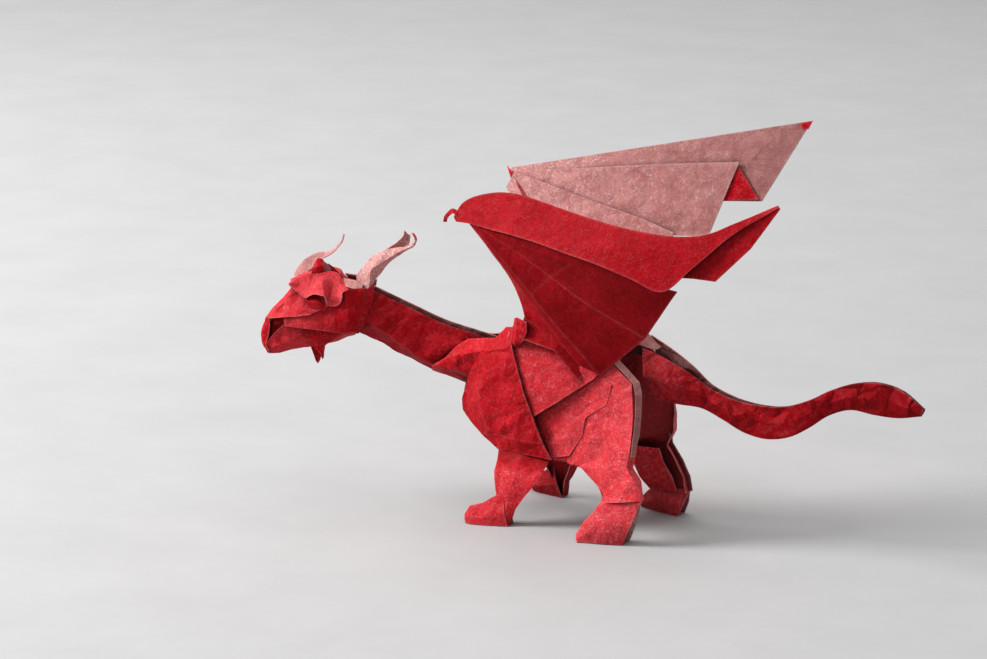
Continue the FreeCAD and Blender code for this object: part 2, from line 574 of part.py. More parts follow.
def crown():
    """The curled brow strip on the right, and the small folds behind it."""
    strip = [
        [(0.75, 0.66, 0.88), (0.71, 0.34, 0.84)],
        [(0.66, 0.80, 1.04), (0.62, 0.46, 0.92)],
        [(0.57, 0.86, 1.11), (0.55, 0.52, 1.00)],
        [(0.51, 0.82, 1.14), (0.49, 0.57, 1.06)],
        [(0.41, 0.76, 1.16), (0.40, 0.62, 1.13)],
        [(0.36, 0.74, 1.21), (0.35, 0.66, 1.19)],
        [(0.31, 0.76, 1.28), (0.30, 0.72, 1.27)],
        [(0.29, 0.80, 1.36), (0.28, 0.77, 1.35)],
    ]
    ball = sheet_on(head, [
        [(0.57, 0.34, 0.86), (0.51, 0.42, 0.86), (0.45, 0.34, 0.86)],
        [(0.565, 0.34, 1.00), (0.51, 0.48, 1.03), (0.45, 0.34, 1.04)],
        [(0.55, 0.20, 1.04), (0.50, 0.22, 1.12), (0.455, 0.18, 1.09)],
    ], left)
    tab = sheet_on(head, [
        [(0.47, 0.20, 0.86), (0.42, 0.16, 0.86), (0.37, 0.16, 0.86)],
        [(0.455, 0.16, 1.08), (0.42, 0.12, 1.05), (0.39, 0.14, 1.00)],
    ], left)
    crest = sheet_on(head, [
        [(0.44, 0.06, 0.86), (0.34, 0.12, 0.86), (0.25, 0.22, 0.84)],
        [(0.415, 0.02, 1.05), (0.36, 0.04, 1.00), (0.29, 0.12, 0.92)],
    ], left)
    return [curved_sheet(head, strip, right, horn_stations), ball, tab, crest]


def left_wing_flaps():
    """Band along the top, fan of membrane below it, point behind, hook in front, folds at the root."""
    band = curved_wing(left_wing, [
        [(-0.17, 0.86, 0.93), (-0.15, 0.80, 1.03), (-0.06, 0.70, 1.14), (0.02, 0.68, 1.155),
         (0.10, 0.68, 1.12), (0.21, 0.70, 1.06), (0.32, 0.73, 1.01), (0.43, 0.76, 0.98),
         (0.54, 0.77, 0.975), (0.63, 0.76, 1.01), (0.72, 0.73, 1.12), (0.85, 0.66, 1.29)],
        [(-0.16, 0.90, 0.90), (-0.11, 0.95, 0.90), (-0.05, 0.98, 0.88), (0.02, 1.02, 0.86),
         (0.10, 1.05, 0.83), (0.21, 1.08, 0.77), (0.32, 1.10, 0.71), (0.42, 1.06, 0.63),
         (0.51, 0.98, 0.55), (0.60, 0.88, 0.75), (0.72, 0.78, 1.04), (0.85, 0.69, 1.27)],
    ])
    fan = wing_sheet(left_wing, [
        [(-0.12, 0.86, 0.90), (-0.05, 0.72, 0.66), (-0.015, 0.42, 0.45), (0, 0.16, 0.25),
         (0.005, -0.04, 0.06), (0.01, -0.16, -0.06)],
        [(-0.105, 0.92, 0.90), (-0.04, 0.80, 0.67), (0.035, 0.58, 0.39), (0.09, 0.36, 0.16),
         (0.15, 0.12, -0.09), (0.20, -0.02, -0.25)],
        [(-0.095, 0.94, 0.895), (-0.01, 0.80, 0.64), (0.07, 0.62, 0.38), (0.13, 0.42, 0.16),
         (0.20, 0.18, -0.08), (0.25, -0.04, -0.27)],
        [(-0.085, 0.95, 0.89), (0.04, 0.92, 0.72), (0.14, 0.76, 0.54), (0.23, 0.60, 0.37),
         (0.32, 0.36, 0.22), (0.40, 0.10, 0.08)],
        [(-0.08, 0.94, 0.885), (0.10, 0.99, 0.76), (0.22, 0.98, 0.68), (0.34, 0.90, 0.58),
         (0.44, 0.70, 0.44), (0.52, 0.60, 0.47)],
        [(-0.06, 0.93, 0.89), (0.15, 1.01, 0.80), (0.29, 1.03, 0.73), (0.40, 0.98, 0.65),
         (0.50, 0.90, 0.58), (0.55, 0.80, 0.55)],
    ])
    point = wing_sheet(left_wing, [
        [(0.45, 0.76, 0.80), (0.56, 0.74, 0.90), (0.66, 0.70, 1.03), (0.75, 0.68, 1.14),
         (0.852, 0.675, 1.285)],
        [(0.53, 0.84, 0.66), (0.60, 0.76, 0.665), (0.665, 0.73, 0.66), (0.77, 0.70, 0.94),
         (0.857, 0.675, 1.265)],
    ])
    hook = wing_sheet(left_wing, [
        [(-0.155, 0.84, 0.98), (-0.174, 0.87, 1.00), (-0.19, 0.89, 0.965), (-0.20, 0.89, 0.93),
         (-0.204, 0.89, 0.885)],
        [(-0.15, 0.90, 0.92), (-0.172, 0.91, 0.965), (-0.183, 0.91, 0.94), (-0.19, 0.90, 0.915),
         (-0.194, 0.85, 0.885)],
    ])
    wrap = wing_sheet(left_wing, [
        [(-0.04, -0.10, 0.09), (-0.015, 0.12, 0.12), (0.02, 0.20, 0.10)],
        [(-0.045, -0.08, 0), (-0.015, 0.16, 0.03), (0.022, 0.20, 0.02)],
        [(-0.05, -0.10, -0.08), (-0.025, 0.07, -0.05), (0, 0.08, -0.07)],
        [(-0.055, -0.14, -0.15), (-0.04, -0.07, -0.14), (-0.028, -0.08, -0.13)],
    ])
    under = wing_sheet(left_wing, [
        [(0, 0.02, 0.12), (0.06, 0.10, 0.07), (0.13, 0.10, -0.02), (0.20, -0.06, -0.22)],
        [(0, 0.10, -0.05), (0.04, 0.13, -0.07), (0.11, 0.17, -0.10), (0.19, 0.11, -0.33)],
    ])
    return [band, fan, point, hook, wrap, under]


def right_wing_flaps():
    """Three knife pleats, the lowest running down to the flank, and the turned corner, tip and wrist."""
    upper = wing_sheet(right_wing, [
        [(-0.20, 0.78, 1.25), (0.05, 0.80, 1.25), (0.30, 0.82, 1.25), (0.55, 0.82, 1.25),
         (0.78, 0.80, 1.25)],
        [(-0.19, 0.72, 1.20), (0.05, 0.70, 1.10), (0.27, 0.70, 0.95), (0.50, 0.68, 0.73),
         (0.63, 0.70, 0.68)],
    ])
    middle = wing_sheet(right_wing, [
        [(-0.195, 0.70, 1.23), (0.05, 0.62, 1.16), (0.30, 0.60, 1.10), (0.56, 0.58, 1.02)],
        [(-0.18, 0.62, 1.16), (0.05, 0.54, 0.80), (0.28, 0.50, 0.55), (0.465, 0.50, 0.46)],
    ])
    lower = wing_sheet(right_wing, [
        [(-0.18, 0.56, 1.215), (-0.09, 0.48, 1.11), (0.11, 0.42, 0.86), (0.26, 0.36, 0.68),
         (0.36, 0.30, 0.54)],
        [(-0.20, 0.64, 1.14), (-0.05, 0.50, 0.92), (0.10, 0.36, 0.66), (0.22, 0.24, 0.36),
         (0.29, -0.12, -0.10)],
        [(-0.205, 0.62, 1.12), (-0.08, 0.48, 0.80), (0.04, 0.32, 0.46), (0.15, 0.14, 0.06),
         (0.22, -0.12, -0.36)],
        [(-0.21, 0.60, 1.10), (-0.13, 0.46, 0.78), (-0.05, 0.30, 0.46), (0, 0.10, 0.18),
         (0.02, -0.16, -0.22)],
    ])
    turned_corner = wing_sheet(right_wing, [
        [(0.49, 0.63, 0.99), (0.55, 0.62, 1.01), (0.622, 0.62, 0.70)],
        [(0.45, 0.60, 0.80), (0.48, 0.57, 0.76), (0.51, 0.60, 0.73)],
    ])
    tip = wing_sheet(right_wing, [
        [(0.742, 0.80, 1.245), (0.782, 0.80, 1.25)],
        [(0.752, 0.76, 1.20), (0.77, 0.77, 1.19)],
    ])
    wrist = wing_sheet(right_wing, [
        [(-0.215, 0.86, 1.27), (-0.20, 0.80, 1.16), (-0.16, 0.66, 1.00)],
        [(-0.19, 0.56, 1.22), (-0.17, 0.50, 1.12), (-0.13, 0.40, 0.96)],
    ])
    return [upper, middle, lower, turned_corner, tip, wrist]


def wing_sheet(place, table):
    return folded_sheet([[place(*share) for share in shares] for shares in table])


def curved_wing(place, table):
    rows = [curve_stations([place(*share) for share in shares], band_stations) for shares in table]
    return folded_sheet(rows)


# ------------------------------------------------------------------- the whole dragon

def all_flaps():
    flaps = chest() + back() + rump() + neck_tube() + collar() + tail_blade()
    flaps += skull() + crown() + horns() + spikes()
    for side in (left, right):
        flaps += hind_quarter(side) + fore_leg(side) + face(side)
    return flaps + left_wing_flaps() + right_wing_flaps()


def centred(shape):
    """The same shape with the middle of its box over the origin, standing on z = 0."""
    box = shape.BoundBox
    return shape.translated(Vector(-box.Center.x, -box.Center.y, -box.ZMin))


flaps = all_flaps()
dragon = flaps[0].multiFuse(flaps[1:])
dragon = centred(dragon.removeSplitter())
os.makedirs("parts", exist_ok=True)
dragon.exportStep("parts/folded_dragon.step")
print("solids", len(dragon.Solids), "faces", len(dragon.Faces), "valid", dragon.isValid())
print("box", dragon.BoundBox)
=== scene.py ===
import bpy
import math
import random
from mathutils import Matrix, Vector, noise


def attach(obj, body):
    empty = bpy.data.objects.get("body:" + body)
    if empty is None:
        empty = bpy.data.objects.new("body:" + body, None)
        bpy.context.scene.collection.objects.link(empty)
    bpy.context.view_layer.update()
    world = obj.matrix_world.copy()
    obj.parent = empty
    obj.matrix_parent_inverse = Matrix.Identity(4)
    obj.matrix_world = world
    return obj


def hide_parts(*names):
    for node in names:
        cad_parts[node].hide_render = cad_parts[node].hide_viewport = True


# A dragon folded from one sheet of red paper, pink on its other side.
# Fold points are percent (along, out, up) of the part of the dragon they lie on, and sizes are mm.
# Each flap starts as a flat grid, is folded to its points, and gets the paper's thickness.

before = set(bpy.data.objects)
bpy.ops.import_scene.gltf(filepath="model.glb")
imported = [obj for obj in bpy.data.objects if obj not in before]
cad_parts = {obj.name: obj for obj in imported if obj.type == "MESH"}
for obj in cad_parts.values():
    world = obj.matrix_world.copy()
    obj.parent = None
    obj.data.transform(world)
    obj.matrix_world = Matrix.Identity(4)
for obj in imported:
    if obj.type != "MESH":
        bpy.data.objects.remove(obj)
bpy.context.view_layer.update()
bpy.ops.object.select_all(action='DESELECT')
random.seed(4)
left, right = -1, 1
mm = 0.001
print("frame loaded")


def aimed(place, target):
    return (Vector(target) - Vector(place)).to_track_quat('-Z', 'Y').to_euler()


# camera
cameraSettings = {"place": (0.39612, -0.76408, 0.2616), "lookAt": (-0.02728, -0.00028, 0.0439), "lens": 138}

bpy.ops.object.camera_add(location=cameraSettings["place"])
camera = bpy.context.object
camera.name = "viewCamera"
camera.data.lens = cameraSettings["lens"]
camera.rotation_euler = aimed(cameraSettings["place"], cameraSettings["lookAt"])
bpy.context.scene.camera = camera


# studio
studio = {
    "keyPlace": (-0.88, -0.42, 0.70), "keySize": 0.45, "keyPower": 14.9,
    "topPlace": (-0.12, 0.1, 1.3), "topSize": 1.8, "topPower": 13.0,
    "lampTarget": (0, 0, 0.04), "worldLevel": 0.3, "skyLevel": 0.56, "skyColor": (1.0, 0.99, 0.995, 1),
}


def addSoftLight(name, place, size, power):
    bpy.ops.object.light_add(type='AREA', location=place)
    lamp = bpy.context.object
    lamp.name = name
    lamp.data.shape = 'DISK'
    lamp.data.size = size
    lamp.data.energy = power
    lamp.rotation_euler = aimed(place, studio["lampTarget"])


addSoftLight("keyLight", studio["keyPlace"], studio["keySize"], studio["keyPower"])
addSoftLight("topLight", studio["topPlace"], studio["topSize"], studio["topPower"])

world = bpy.data.worlds.new("studioWorld")
bpy.context.scene.world = world
world.use_nodes = True
bpy.context.scene.view_settings.view_transform = 'Standard'
print("camera and lights placed")


# shader helpers
def newNode(tree, kind, settings=None, values=None):
    node = tree.nodes.new(kind)
    for name, value in (settings or {}).items():
        setattr(node, name, value)
    for name, value in (values or {}).items():
        if isinstance(value, bpy.types.NodeSocket):
            tree.links.new(value, node.inputs[name])
        else:
            node.inputs[name].default_value = value
    return node


def mathNode(tree, operation, a, b=0.0, clamp=False):
    node = newNode(tree, "ShaderNodeMath", {"operation": operation, "use_clamp": clamp}, {0: a, 1: b})
    return node.outputs[0]


def times(tree, a, b):
    return mathNode(tree, 'MULTIPLY', a, b)


def plus(tree, a, b):
    return mathNode(tree, 'ADD', a, b)


def vectorNode(tree, operation, a, b=(0, 0, 0)):
    node = newNode(tree, "ShaderNodeVectorMath", {"operation": operation}, {0: a, 1: b})
    return node.outputs["Value" if operation in ('LENGTH', 'DOT_PRODUCT') else "Vector"]


# a value that goes from low to high while the given one goes from start to end
def spread(tree, value, low, high, start=0.0, end=1.0, kind='LINEAR'):
    node = newNode(tree, "ShaderNodeMapRange", {"interpolation_type": kind},
                   {"Value": value, "From Min": start, "From Max": end, "To Min": low, "To Max": high})
    return node.outputs["Result"]


def rampDown(tree, value, start, end):
    return spread(tree, value, 1.0, 0.0, start, end, 'SMOOTHSTEP')


def flatNoise(tree, place, scale, detail, roughness=0.5, output="Fac"):
    node = newNode(tree, "ShaderNodeTexNoise", {"noise_dimensions": '2D'},
                   {"Vector": place, "Scale": scale, "Detail": detail, "Roughness": roughness})
    return node.outputs[output]


def sheetMark(tree, name):
    return newNode(tree, "ShaderNodeAttribute", {"attribute_name": name}).outputs["Fac"]


def blendColor(tree, factor, a, b, kind='MIX'):
    node = newNode(tree, "ShaderNodeMix", {"data_type": 'RGBA', "blend_type": kind})
    for name, value in (("Factor", factor), ("A", a), ("B", b)):
        socket = [s for s in node.inputs if s.name == name and s.enabled][0]
        if isinstance(value, bpy.types.NodeSocket):
            tree.links.new(value, socket)
        else:
            socket.default_value = value
    return [s for s in node.outputs if s.enabled][0]


# each group reads the sheet's flat map and a few numbers, and gives masks
def newGroup(name, inputs, outputs):
    tree = bpy.data.node_groups.new(name, "ShaderNodeTree")
    tree.interface.new_socket(name="Flat", in_out='INPUT', socket_type="NodeSocketVector")
    for given, value in inputs.items():
        socket = tree.interface.new_socket(name=given, in_out='INPUT', socket_type="NodeSocketFloat")
        socket.default_value = value
    for result in outputs:
        tree.interface.new_socket(name=result, in_out='OUTPUT', socket_type="NodeSocketFloat")
    return tree, tree.nodes.new("NodeGroupInput").outputs, tree.nodes.new("NodeGroupOutput").inputs


def multiplyColor(tree, color, by):
    return blendColor(tree, 1.0, color, by, 'MULTIPLY')


def placeGroup(tree, group, values):
    return newNode(tree, "ShaderNodeGroup", {"node_tree": group}, values).outputs


# one layer of short curled fibres, laid out on the sheet's own flat map in mm
fibreShape = {"wanderNoise": (0.9, 1.0), "wander": (2.0, 2.0, 0.0), "bend": (0.35, 1.5), "fullTurn": 6.283,
              "solidShare": 0.6, "faintest": 0.25}


def buildFibreGroup():
    numbers = {"Spacing": 1.6, "Length": 0.9, "Width": 0.1, "Seed": 0.0}
    tree, given, result = newGroup("curledFibres", numbers, ["Mask"])
    moved = vectorNode(tree, 'ADD', given["Flat"], given["Seed"])
    wander = flatNoise(tree, moved, *fibreShape["wanderNoise"], output="Color")
    shift = vectorNode(tree, 'SUBTRACT', wander, (0.5, 0.5, 0.5))
    shift = vectorNode(tree, 'MULTIPLY', shift, fibreShape["wander"])
    place = vectorNode(tree, 'ADD', moved, shift)
    cells = newNode(tree, "ShaderNodeTexVoronoi", {"voronoi_dimensions": '2D', "feature": 'F1'},
                    {"Vector": place, "Scale": mathNode(tree, 'DIVIDE', 1.0, given["Spacing"])})
    fromMiddle = vectorNode(tree, 'SUBTRACT', place, cells.outputs["Position"])
    chance = newNode(tree, "ShaderNodeSeparateColor", {}, {"Color": cells.outputs["Color"]}).outputs
    turn = times(tree, chance[0], fibreShape["fullTurn"])
    turned = newNode(tree, "ShaderNodeVectorRotate", {"rotation_type": 'Z_AXIS'},
                     {"Vector": fromMiddle, "Angle": turn}).outputs[0]
    bend = spread(tree, chance[1], *fibreShape["bend"])
    centre = newNode(tree, "ShaderNodeCombineXYZ", {}, {"Y": bend}).outputs[0]
    fromCentre = vectorNode(tree, 'MULTIPLY', vectorNode(tree, 'SUBTRACT', turned, centre), (1, 1, 0))
    fromCentre = vectorNode(tree, 'LENGTH', fromCentre)
    offLine = mathNode(tree, 'ABSOLUTE', mathNode(tree, 'SUBTRACT', fromCentre, bend))
    line = rampDown(tree, offLine, 0.0, given["Width"])
    reach = vectorNode(tree, 'LENGTH', vectorNode(tree, 'MULTIPLY', fromMiddle, (1, 1, 0)))
    ends = rampDown(tree, reach, times(tree, given["Length"], fibreShape["solidShare"]), given["Length"])
    shown = times(tree, line, ends)
    shown = times(tree, shown, spread(tree, chance[2], fibreShape["faintest"], 1.0))
    tree.links.new(shown, result["Mask"])
    return tree


# three layers of fibres (spacing, length, width, seed), slow mottling, a fine grain, and small crushed facets;
# each noise is (scale, detail, roughness)
paperTexture = {
    "layers": [(1.25, 0.85, 0.13, 3.0), (1.7, 1.1, 0.15, 57.0), (1.05, 0.62, 0.12, 121.0)],
    "patchNoise": (0.16, 3.0, 0.6), "patchShare": 0.6, "cloudNoise": (0.55, 4.0, 0.62), "cloudShare": 0.4,
    "mottle": (0.3, 0.7), "grainNoise": (4.0, 3.0), "fibreHeight": 0.6, "grainHeight": 0.5, "cloudHeight": 0.7,
    "facetScales": (0.11, 0.24), "fineFacets": 0.4, "bendNoise": (0.12, 2.0), "bend": (5.0, 5.0, 0.0),
}


def buildPaperGroup(fibreGroup):
    tree, given, result = newGroup("handmadePaper", {}, ["Fibres", "Mottle", "Grain", "Height", "Facets"])
    fibres = None
    for spacing, length, width, seed in paperTexture["layers"]:
        mask = placeGroup(tree, fibreGroup, {"Flat": given["Flat"], "Spacing": spacing, "Length": length,
                                             "Width": width, "Seed": seed})["Mask"]
        fibres = mask if fibres is None else mathNode(tree, 'MAXIMUM', fibres, mask)
    patches = flatNoise(tree, given["Flat"], *paperTexture["patchNoise"])
    clouds = flatNoise(tree, given["Flat"], *paperTexture["cloudNoise"])
    mottle = plus(tree, times(tree, patches, paperTexture["patchShare"]),
                  times(tree, clouds, paperTexture["cloudShare"]))
    mottle = spread(tree, mottle, 0.0, 1.0, *paperTexture["mottle"], 'SMOOTHSTEP')
    grain = flatNoise(tree, given["Flat"], *paperTexture["grainNoise"])
    height = plus(tree, times(tree, fibres, paperTexture["fibreHeight"]),
                  plus(tree, times(tree, grain, paperTexture["grainHeight"]),
                       times(tree, clouds, paperTexture["cloudHeight"])))
    bent = flatNoise(tree, given["Flat"], *paperTexture["bendNoise"], output="Color")
    bent = vectorNode(tree, 'ADD', given["Flat"], vectorNode(tree, 'MULTIPLY', bent, paperTexture["bend"]))
    broad, fine = [newNode(tree, "ShaderNodeTexVoronoi", {"voronoi_dimensions": '2D', "feature": 'DISTANCE_TO_EDGE'},
                           {"Vector": bent, "Scale": scale}).outputs["Distance"]
                   for scale in paperTexture["facetScales"]]
    facets = plus(tree, broad, times(tree, fine, paperTexture["fineFacets"]))
    for name, value in (("Fibres", fibres), ("Mottle", mottle), ("Grain", grain), ("Height", height),
                        ("Facets", facets)):
        tree.links.new(value, result[name])
    return tree


# worn folds and raw edges, from the sheet's own marks
wearTexture = {"patchNoise": (0.8, 4.0, 0.7), "patchy": (0.35, 1.0, 0.35, 0.65), "creaseSharpness": 2.2,
               "edgeSharpness": 2.5}


def buildWearGroup():
    tree, given, result = newGroup("foldWear", {}, ["Crease", "Edge"])
    patchy = spread(tree, flatNoise(tree, given["Flat"], *wearTexture["patchNoise"]), *wearTexture["patchy"])
    crease = mathNode(tree, 'POWER', sheetMark(tree, "wornFold"), wearTexture["creaseSharpness"])
    edge = mathNode(tree, 'POWER', sheetMark(tree, "rawEdge"), wearTexture["edgeSharpness"])
    tree.links.new(times(tree, crease, patchy), result["Crease"])
    tree.links.new(times(tree, edge, patchy), result["Edge"])
    return tree


# the pale sky is seen at one level and lights the paper at a lower one
sky = world.node_tree.nodes["Background"].inputs
sky["Color"].default_value = studio["skyColor"]
seenSky = newNode(world.node_tree, "ShaderNodeLightPath").outputs["Is Camera Ray"]
world.node_tree.links.new(spread(world.node_tree, seenSky, studio["worldLevel"], studio["skyLevel"]), sky["Strength"])

fibreGroup = buildFibreGroup()
paperGroup = buildPaperGroup(fibreGroup)
wearGroup = buildWearGroup()

redFace = {"deep": (0.47, 0.0012, 0.005, 1), "light": (0.66, 0.005, 0.016, 1), "fibre": (0.96, 0.30, 0.34, 1),
           "worn": (0.92, 0.16, 0.18, 1), "fibreShare": 0.25, "wornShare": 0.6, "edgeShare": 0.5,
           "roughness": 0.46, "gloss": 0.07, "paintedShadeReach": 10.0, "paintedShadeLevel": 0.1,
           "grain": 0.55, "paintedSheenShare": 0.75}
pinkFace = {"deep": (0.53, 0.19, 0.175, 1), "light": (0.68, 0.285, 0.27, 1), "fibre": (0.95, 0.74, 0.71, 1),
            "worn": (0.88, 0.66, 0.62, 1), "fibreShare": 0.5, "wornShare": 0.5, "edgeShare": 0.5,
            "roughness": 0.6, "gloss": 0.2, "paintedShadeReach": 6.0, "paintedShadeLevel": 0.45,
            "grain": 0.5, "paintedSheenShare": 0.2}
# painted shade: a much darker, duller copy of the red paper, for insides of the body seen in shadow
shadedInsideFace = dict(redFace, deep=(0.17, 0.0008, 0.002, 1), light=(0.27, 0.001, 0.003, 1), fibreShare=0.05, gloss=0.03)
cutEdge = {"deep": (0.50, 0.06, 0.07, 1), "light": (0.68, 0.18, 0.18, 1), "fibre": (0.85, 0.45, 0.42, 1),
           "worn": (0.86, 0.42, 0.40, 1), "fibreShare": 0.3, "wornShare": 0.3, "edgeShare": 0.3,
           "roughness": 0.7, "gloss": 0.2, "paintedShadeReach": 4.0, "paintedShadeLevel": 0.3,
           "grain": 0.7, "paintedSheenShare": 0.0}
surface = {"mapScale": 1000.0, "paintedLightFibrePower": 3.0, "paintedShadeSamples": 6, "facetDepth": 0.0013, "facetStrength": 1.0,
           "fineDepth": 0.00013, "fineStrength": 0.8}


def makePaper(name, look):
    material = bpy.data.materials.new(name)
    material.use_nodes = True
    tree = material.node_tree
    shader = tree.nodes["Principled BSDF"]
    flat = newNode(tree, "ShaderNodeUVMap", {"uv_map": "flatSheet"}).outputs["UV"]
    flat = vectorNode(tree, 'SCALE', flat)
    flat.node.inputs["Scale"].default_value = surface["mapScale"]   # the map is stored in metres
    paper = placeGroup(tree, paperGroup, {"Flat": flat})
    wear = placeGroup(tree, wearGroup, {"Flat": flat})
    color = blendColor(tree, paper["Mottle"], look["deep"], look["light"])
    color = multiplyColor(tree, color, spread(tree, paper["Grain"], look["grain"], 2 - look["grain"]))
    # painted light and shade: each flap's level lightens its color where it should look lit and darkens it where it
    # should look shaded
    paintedLight = sheetMark(tree, "paintedLight")
    fibres = times(tree, paper["Fibres"], look["fibreShare"])
    # painted highlight: the fibres show more strongly where the painted light level is high
    shown = times(tree, sheetMark(tree, "fibrous"), mathNode(tree, 'POWER', paintedLight, surface["paintedLightFibrePower"]))
    fibres = times(tree, fibres, shown)
    # painted sheen: where the painted light level is above 1, the color is veiled toward the pale pink worn color
    paintedSheen = times(tree, mathNode(tree, 'SUBTRACT', paintedLight, 1.0, clamp=True), look["paintedSheenShare"])
    color = blendColor(tree, paintedSheen, color, look["worn"])
    color = blendColor(tree, fibres, color, look["fibre"])
    color = blendColor(tree, times(tree, wear["Crease"], look["wornShare"]), color, look["worn"])
    color = blendColor(tree, times(tree, wear["Edge"], look["edgeShare"]), color, look["worn"])
    # painted shade: the color is darkened in hollows, creases and under overlapping flaps
    paintedShadeInHollows = newNode(tree, "ShaderNodeAmbientOcclusion", {"samples": surface["paintedShadeSamples"]},
                     {"Distance": look["paintedShadeReach"] * mm}).outputs["AO"]
    color = multiplyColor(tree, color, spread(tree, paintedShadeInHollows, look["paintedShadeLevel"], 1.0))
    # painted light and shade: the color is multiplied by the flap's level
    color = multiplyColor(tree, color, paintedLight)
    tree.links.new(color, shader.inputs["Base Color"])
    shader.inputs["Roughness"].default_value = look["roughness"]
    shader.inputs["Specular IOR Level"].default_value = look["gloss"]
    facets = newNode(tree, "ShaderNodeBump", {},
                     {"Strength": surface["facetStrength"], "Distance": surface["facetDepth"],
                      "Height": times(tree, paper["Facets"], sheetMark(tree, "crush"))}).outputs["Normal"]
    bump = newNode(tree, "ShaderNodeBump", {},
                   {"Strength": surface["fineStrength"], "Distance": surface["fineDepth"],
                    "Height": paper["Height"], "Normal": facets}).outputs["Normal"]
    tree.links.new(bump, shader.inputs["Normal"])
    return material


paperMaterials = [makePaper("redPaperFace", redFace), makePaper("pinkPaperReverse", pinkFace),
                  makePaper("cutPaperEdge", cutEdge), makePaper("redPaperPaintedShade", shadedInsideFace)]
redSlot, pinkSlot, edgeSlot, paintedShadeSlot = range(len(paperMaterials))
print("paper materials made")


# where each part of the dragon is, from shares (along, out, up) of its own sizes
def turnedBy(degrees):
    a = math.radians(degrees)
    return Vector((-math.cos(a), -math.sin(a), 0)), Vector((math.sin(a), -math.cos(a), 0))


torsoSizes = {"length": 49.0, "bellyHeight": 16.5, "height": 29.9, "halfWidth": 9.6, "middle": (34.5525, -1.8118)}


def centredPoint(x, y, z):
    return Vector((x - torsoSizes["middle"][0], y - torsoSizes["middle"][1], z))


def torsoAt(along, out, up, side=left):
    return centredPoint(along * torsoSizes["length"], side * out * torsoSizes["halfWidth"],
                        torsoSizes["bellyHeight"] + up * torsoSizes["height"])


legSizes = {"forePlace": 0.38, "hindPlace": 0.86, "foreWidth": 14.0, "hindWidth": 16.0, "stanceHalfWidth": 14.0}


def legAt(place, width, along, out, up, side):
    x = legSizes[place] * torsoSizes["length"] + along * legSizes[width]
    return centredPoint(x, side * out * legSizes["stanceHalfWidth"], up * torsoSizes["bellyHeight"])


def foreAt(along, out, up, side=left):
    return legAt("forePlace", "foreWidth", along, out, up, side)


def hindAt(along, out, up, side=left):
    return legAt("hindPlace", "hindWidth", along, out, up, side)


neckSizes = {"length": 25.0, "rise": 9.5, "depth": 13.0, "halfWidth": 3.6, "turn": 16.0, "root": (0.02, 0, 0.44)}


def neckAt(along, out, up, side=left):
    forward, sideways = turnedBy(neckSizes["turn"])
    level = forward * (along * neckSizes["length"]) - sideways * (side * out * neckSizes["halfWidth"])
    return torsoAt(*neckSizes["root"]) + level + Vector((0, 0, along * neckSizes["rise"] + up * neckSizes["depth"]))


headSizes = {"length": 26.0, "height": 21.0, "halfWidth": 4.5, "drop": 3.7, "turn": 25.0}


def headAt(along, out, up, side=left):
    forward, sideways = turnedBy(headSizes["turn"])
    level = forward * (along * headSizes["length"]) - sideways * (side * out * headSizes["halfWidth"])
    return neckAt(1, 0, 0) + level + Vector((0, 0, up * headSizes["height"] - headSizes["drop"]))


tailSizes = {"length": 70.0, "rootDepth": 15.0, "halfWidth": 4.6, "taper": 0.3, "flatness": 0.17,
             "root": (0.96, 0, 0.45)}


def tailAt(along, out, up, side=left):
    level = Vector((along * tailSizes["length"], side * out * tailSizes["halfWidth"], 0))
    return torsoAt(*tailSizes["root"]) + level + Vector((0, 0, up * tailSizes["rootDepth"]))


wingSizes = {"span": 80.0, "rise": 30.0, "lean": 11.0, "farLean": 5.0, "farLift": 19.0, "root": (0.4, 0.97, 1)}


def leftWingAt(along, out, up, side=left):
    root = torsoAt(*wingSizes["root"])
    return root + Vector((along * wingSizes["span"], -out * wingSizes["lean"], up * wingSizes["rise"]))


def rightWingAt(along, out, up, side=right):
    root = torsoAt(*wingSizes["root"], right)
    return root + Vector((along * wingSizes["span"], out * wingSizes["farLean"],
                          up * wingSizes["rise"] + along * wingSizes["farLift"]))


# folding a sheet
paperSettings = {"thickness": 0.28, "step": 0.8, "crumple": 0.2, "crumpleSize": 6.0, "swell": 0.7, "ridge": 2.2,
                 "ridgeMiddle": 0.35, "ripple": 0.05, "rippleSize": 2.4, "heldReach": 4, "smoothAngle": 14,
                 "mergeReach": 0.03, "mapShift": 0.2, "gridSize": 100}


# the direction in which a smooth line passes a fold point
def leanAt(i, chords, sizes):
    lean = (chords[i - 1] / sizes[i - 1]) * sizes[i] + (chords[i] / sizes[i]) * sizes[i - 1]
    return lean / (sizes[i - 1] + sizes[i])


# points along a line of fold points: smooth through them, straight into the sharp ones
def smoothLine(points, counts, smooth, sharp=()):
    last = len(points) - 1
    if not smooth:
        sharp = range(last)
    chords = [points[i + 1] - points[i] for i in range(last)]
    sizes = [max(c.length, 1e-6) for c in chords]
    line = []
    for i in range(last):
        start = chords[i] if i == 0 or i in sharp else leanAt(i, chords, sizes) * sizes[i]
        end = chords[i] if i == last - 1 or i + 1 in sharp else leanAt(i + 1, chords, sizes) * sizes[i]
        for k in range(counts[i]):
            t = k / counts[i]
            line.append(points[i] * (2 * t ** 3 - 3 * t ** 2 + 1) + start * (t ** 3 - 2 * t ** 2 + t)
                        + points[i + 1] * (3 * t ** 2 - 2 * t ** 3) + end * (t ** 3 - t ** 2))
    return line + [points[last].copy()]


# how many grid steps lie between the fold points
def stepCounts(lines, step):
    counts = []
    for i in range(len(lines[0]) - 1):
        longest = max((line[i + 1] - line[i]).length for line in lines)
        counts.append(max(1, math.ceil(longest / step)))
    return counts
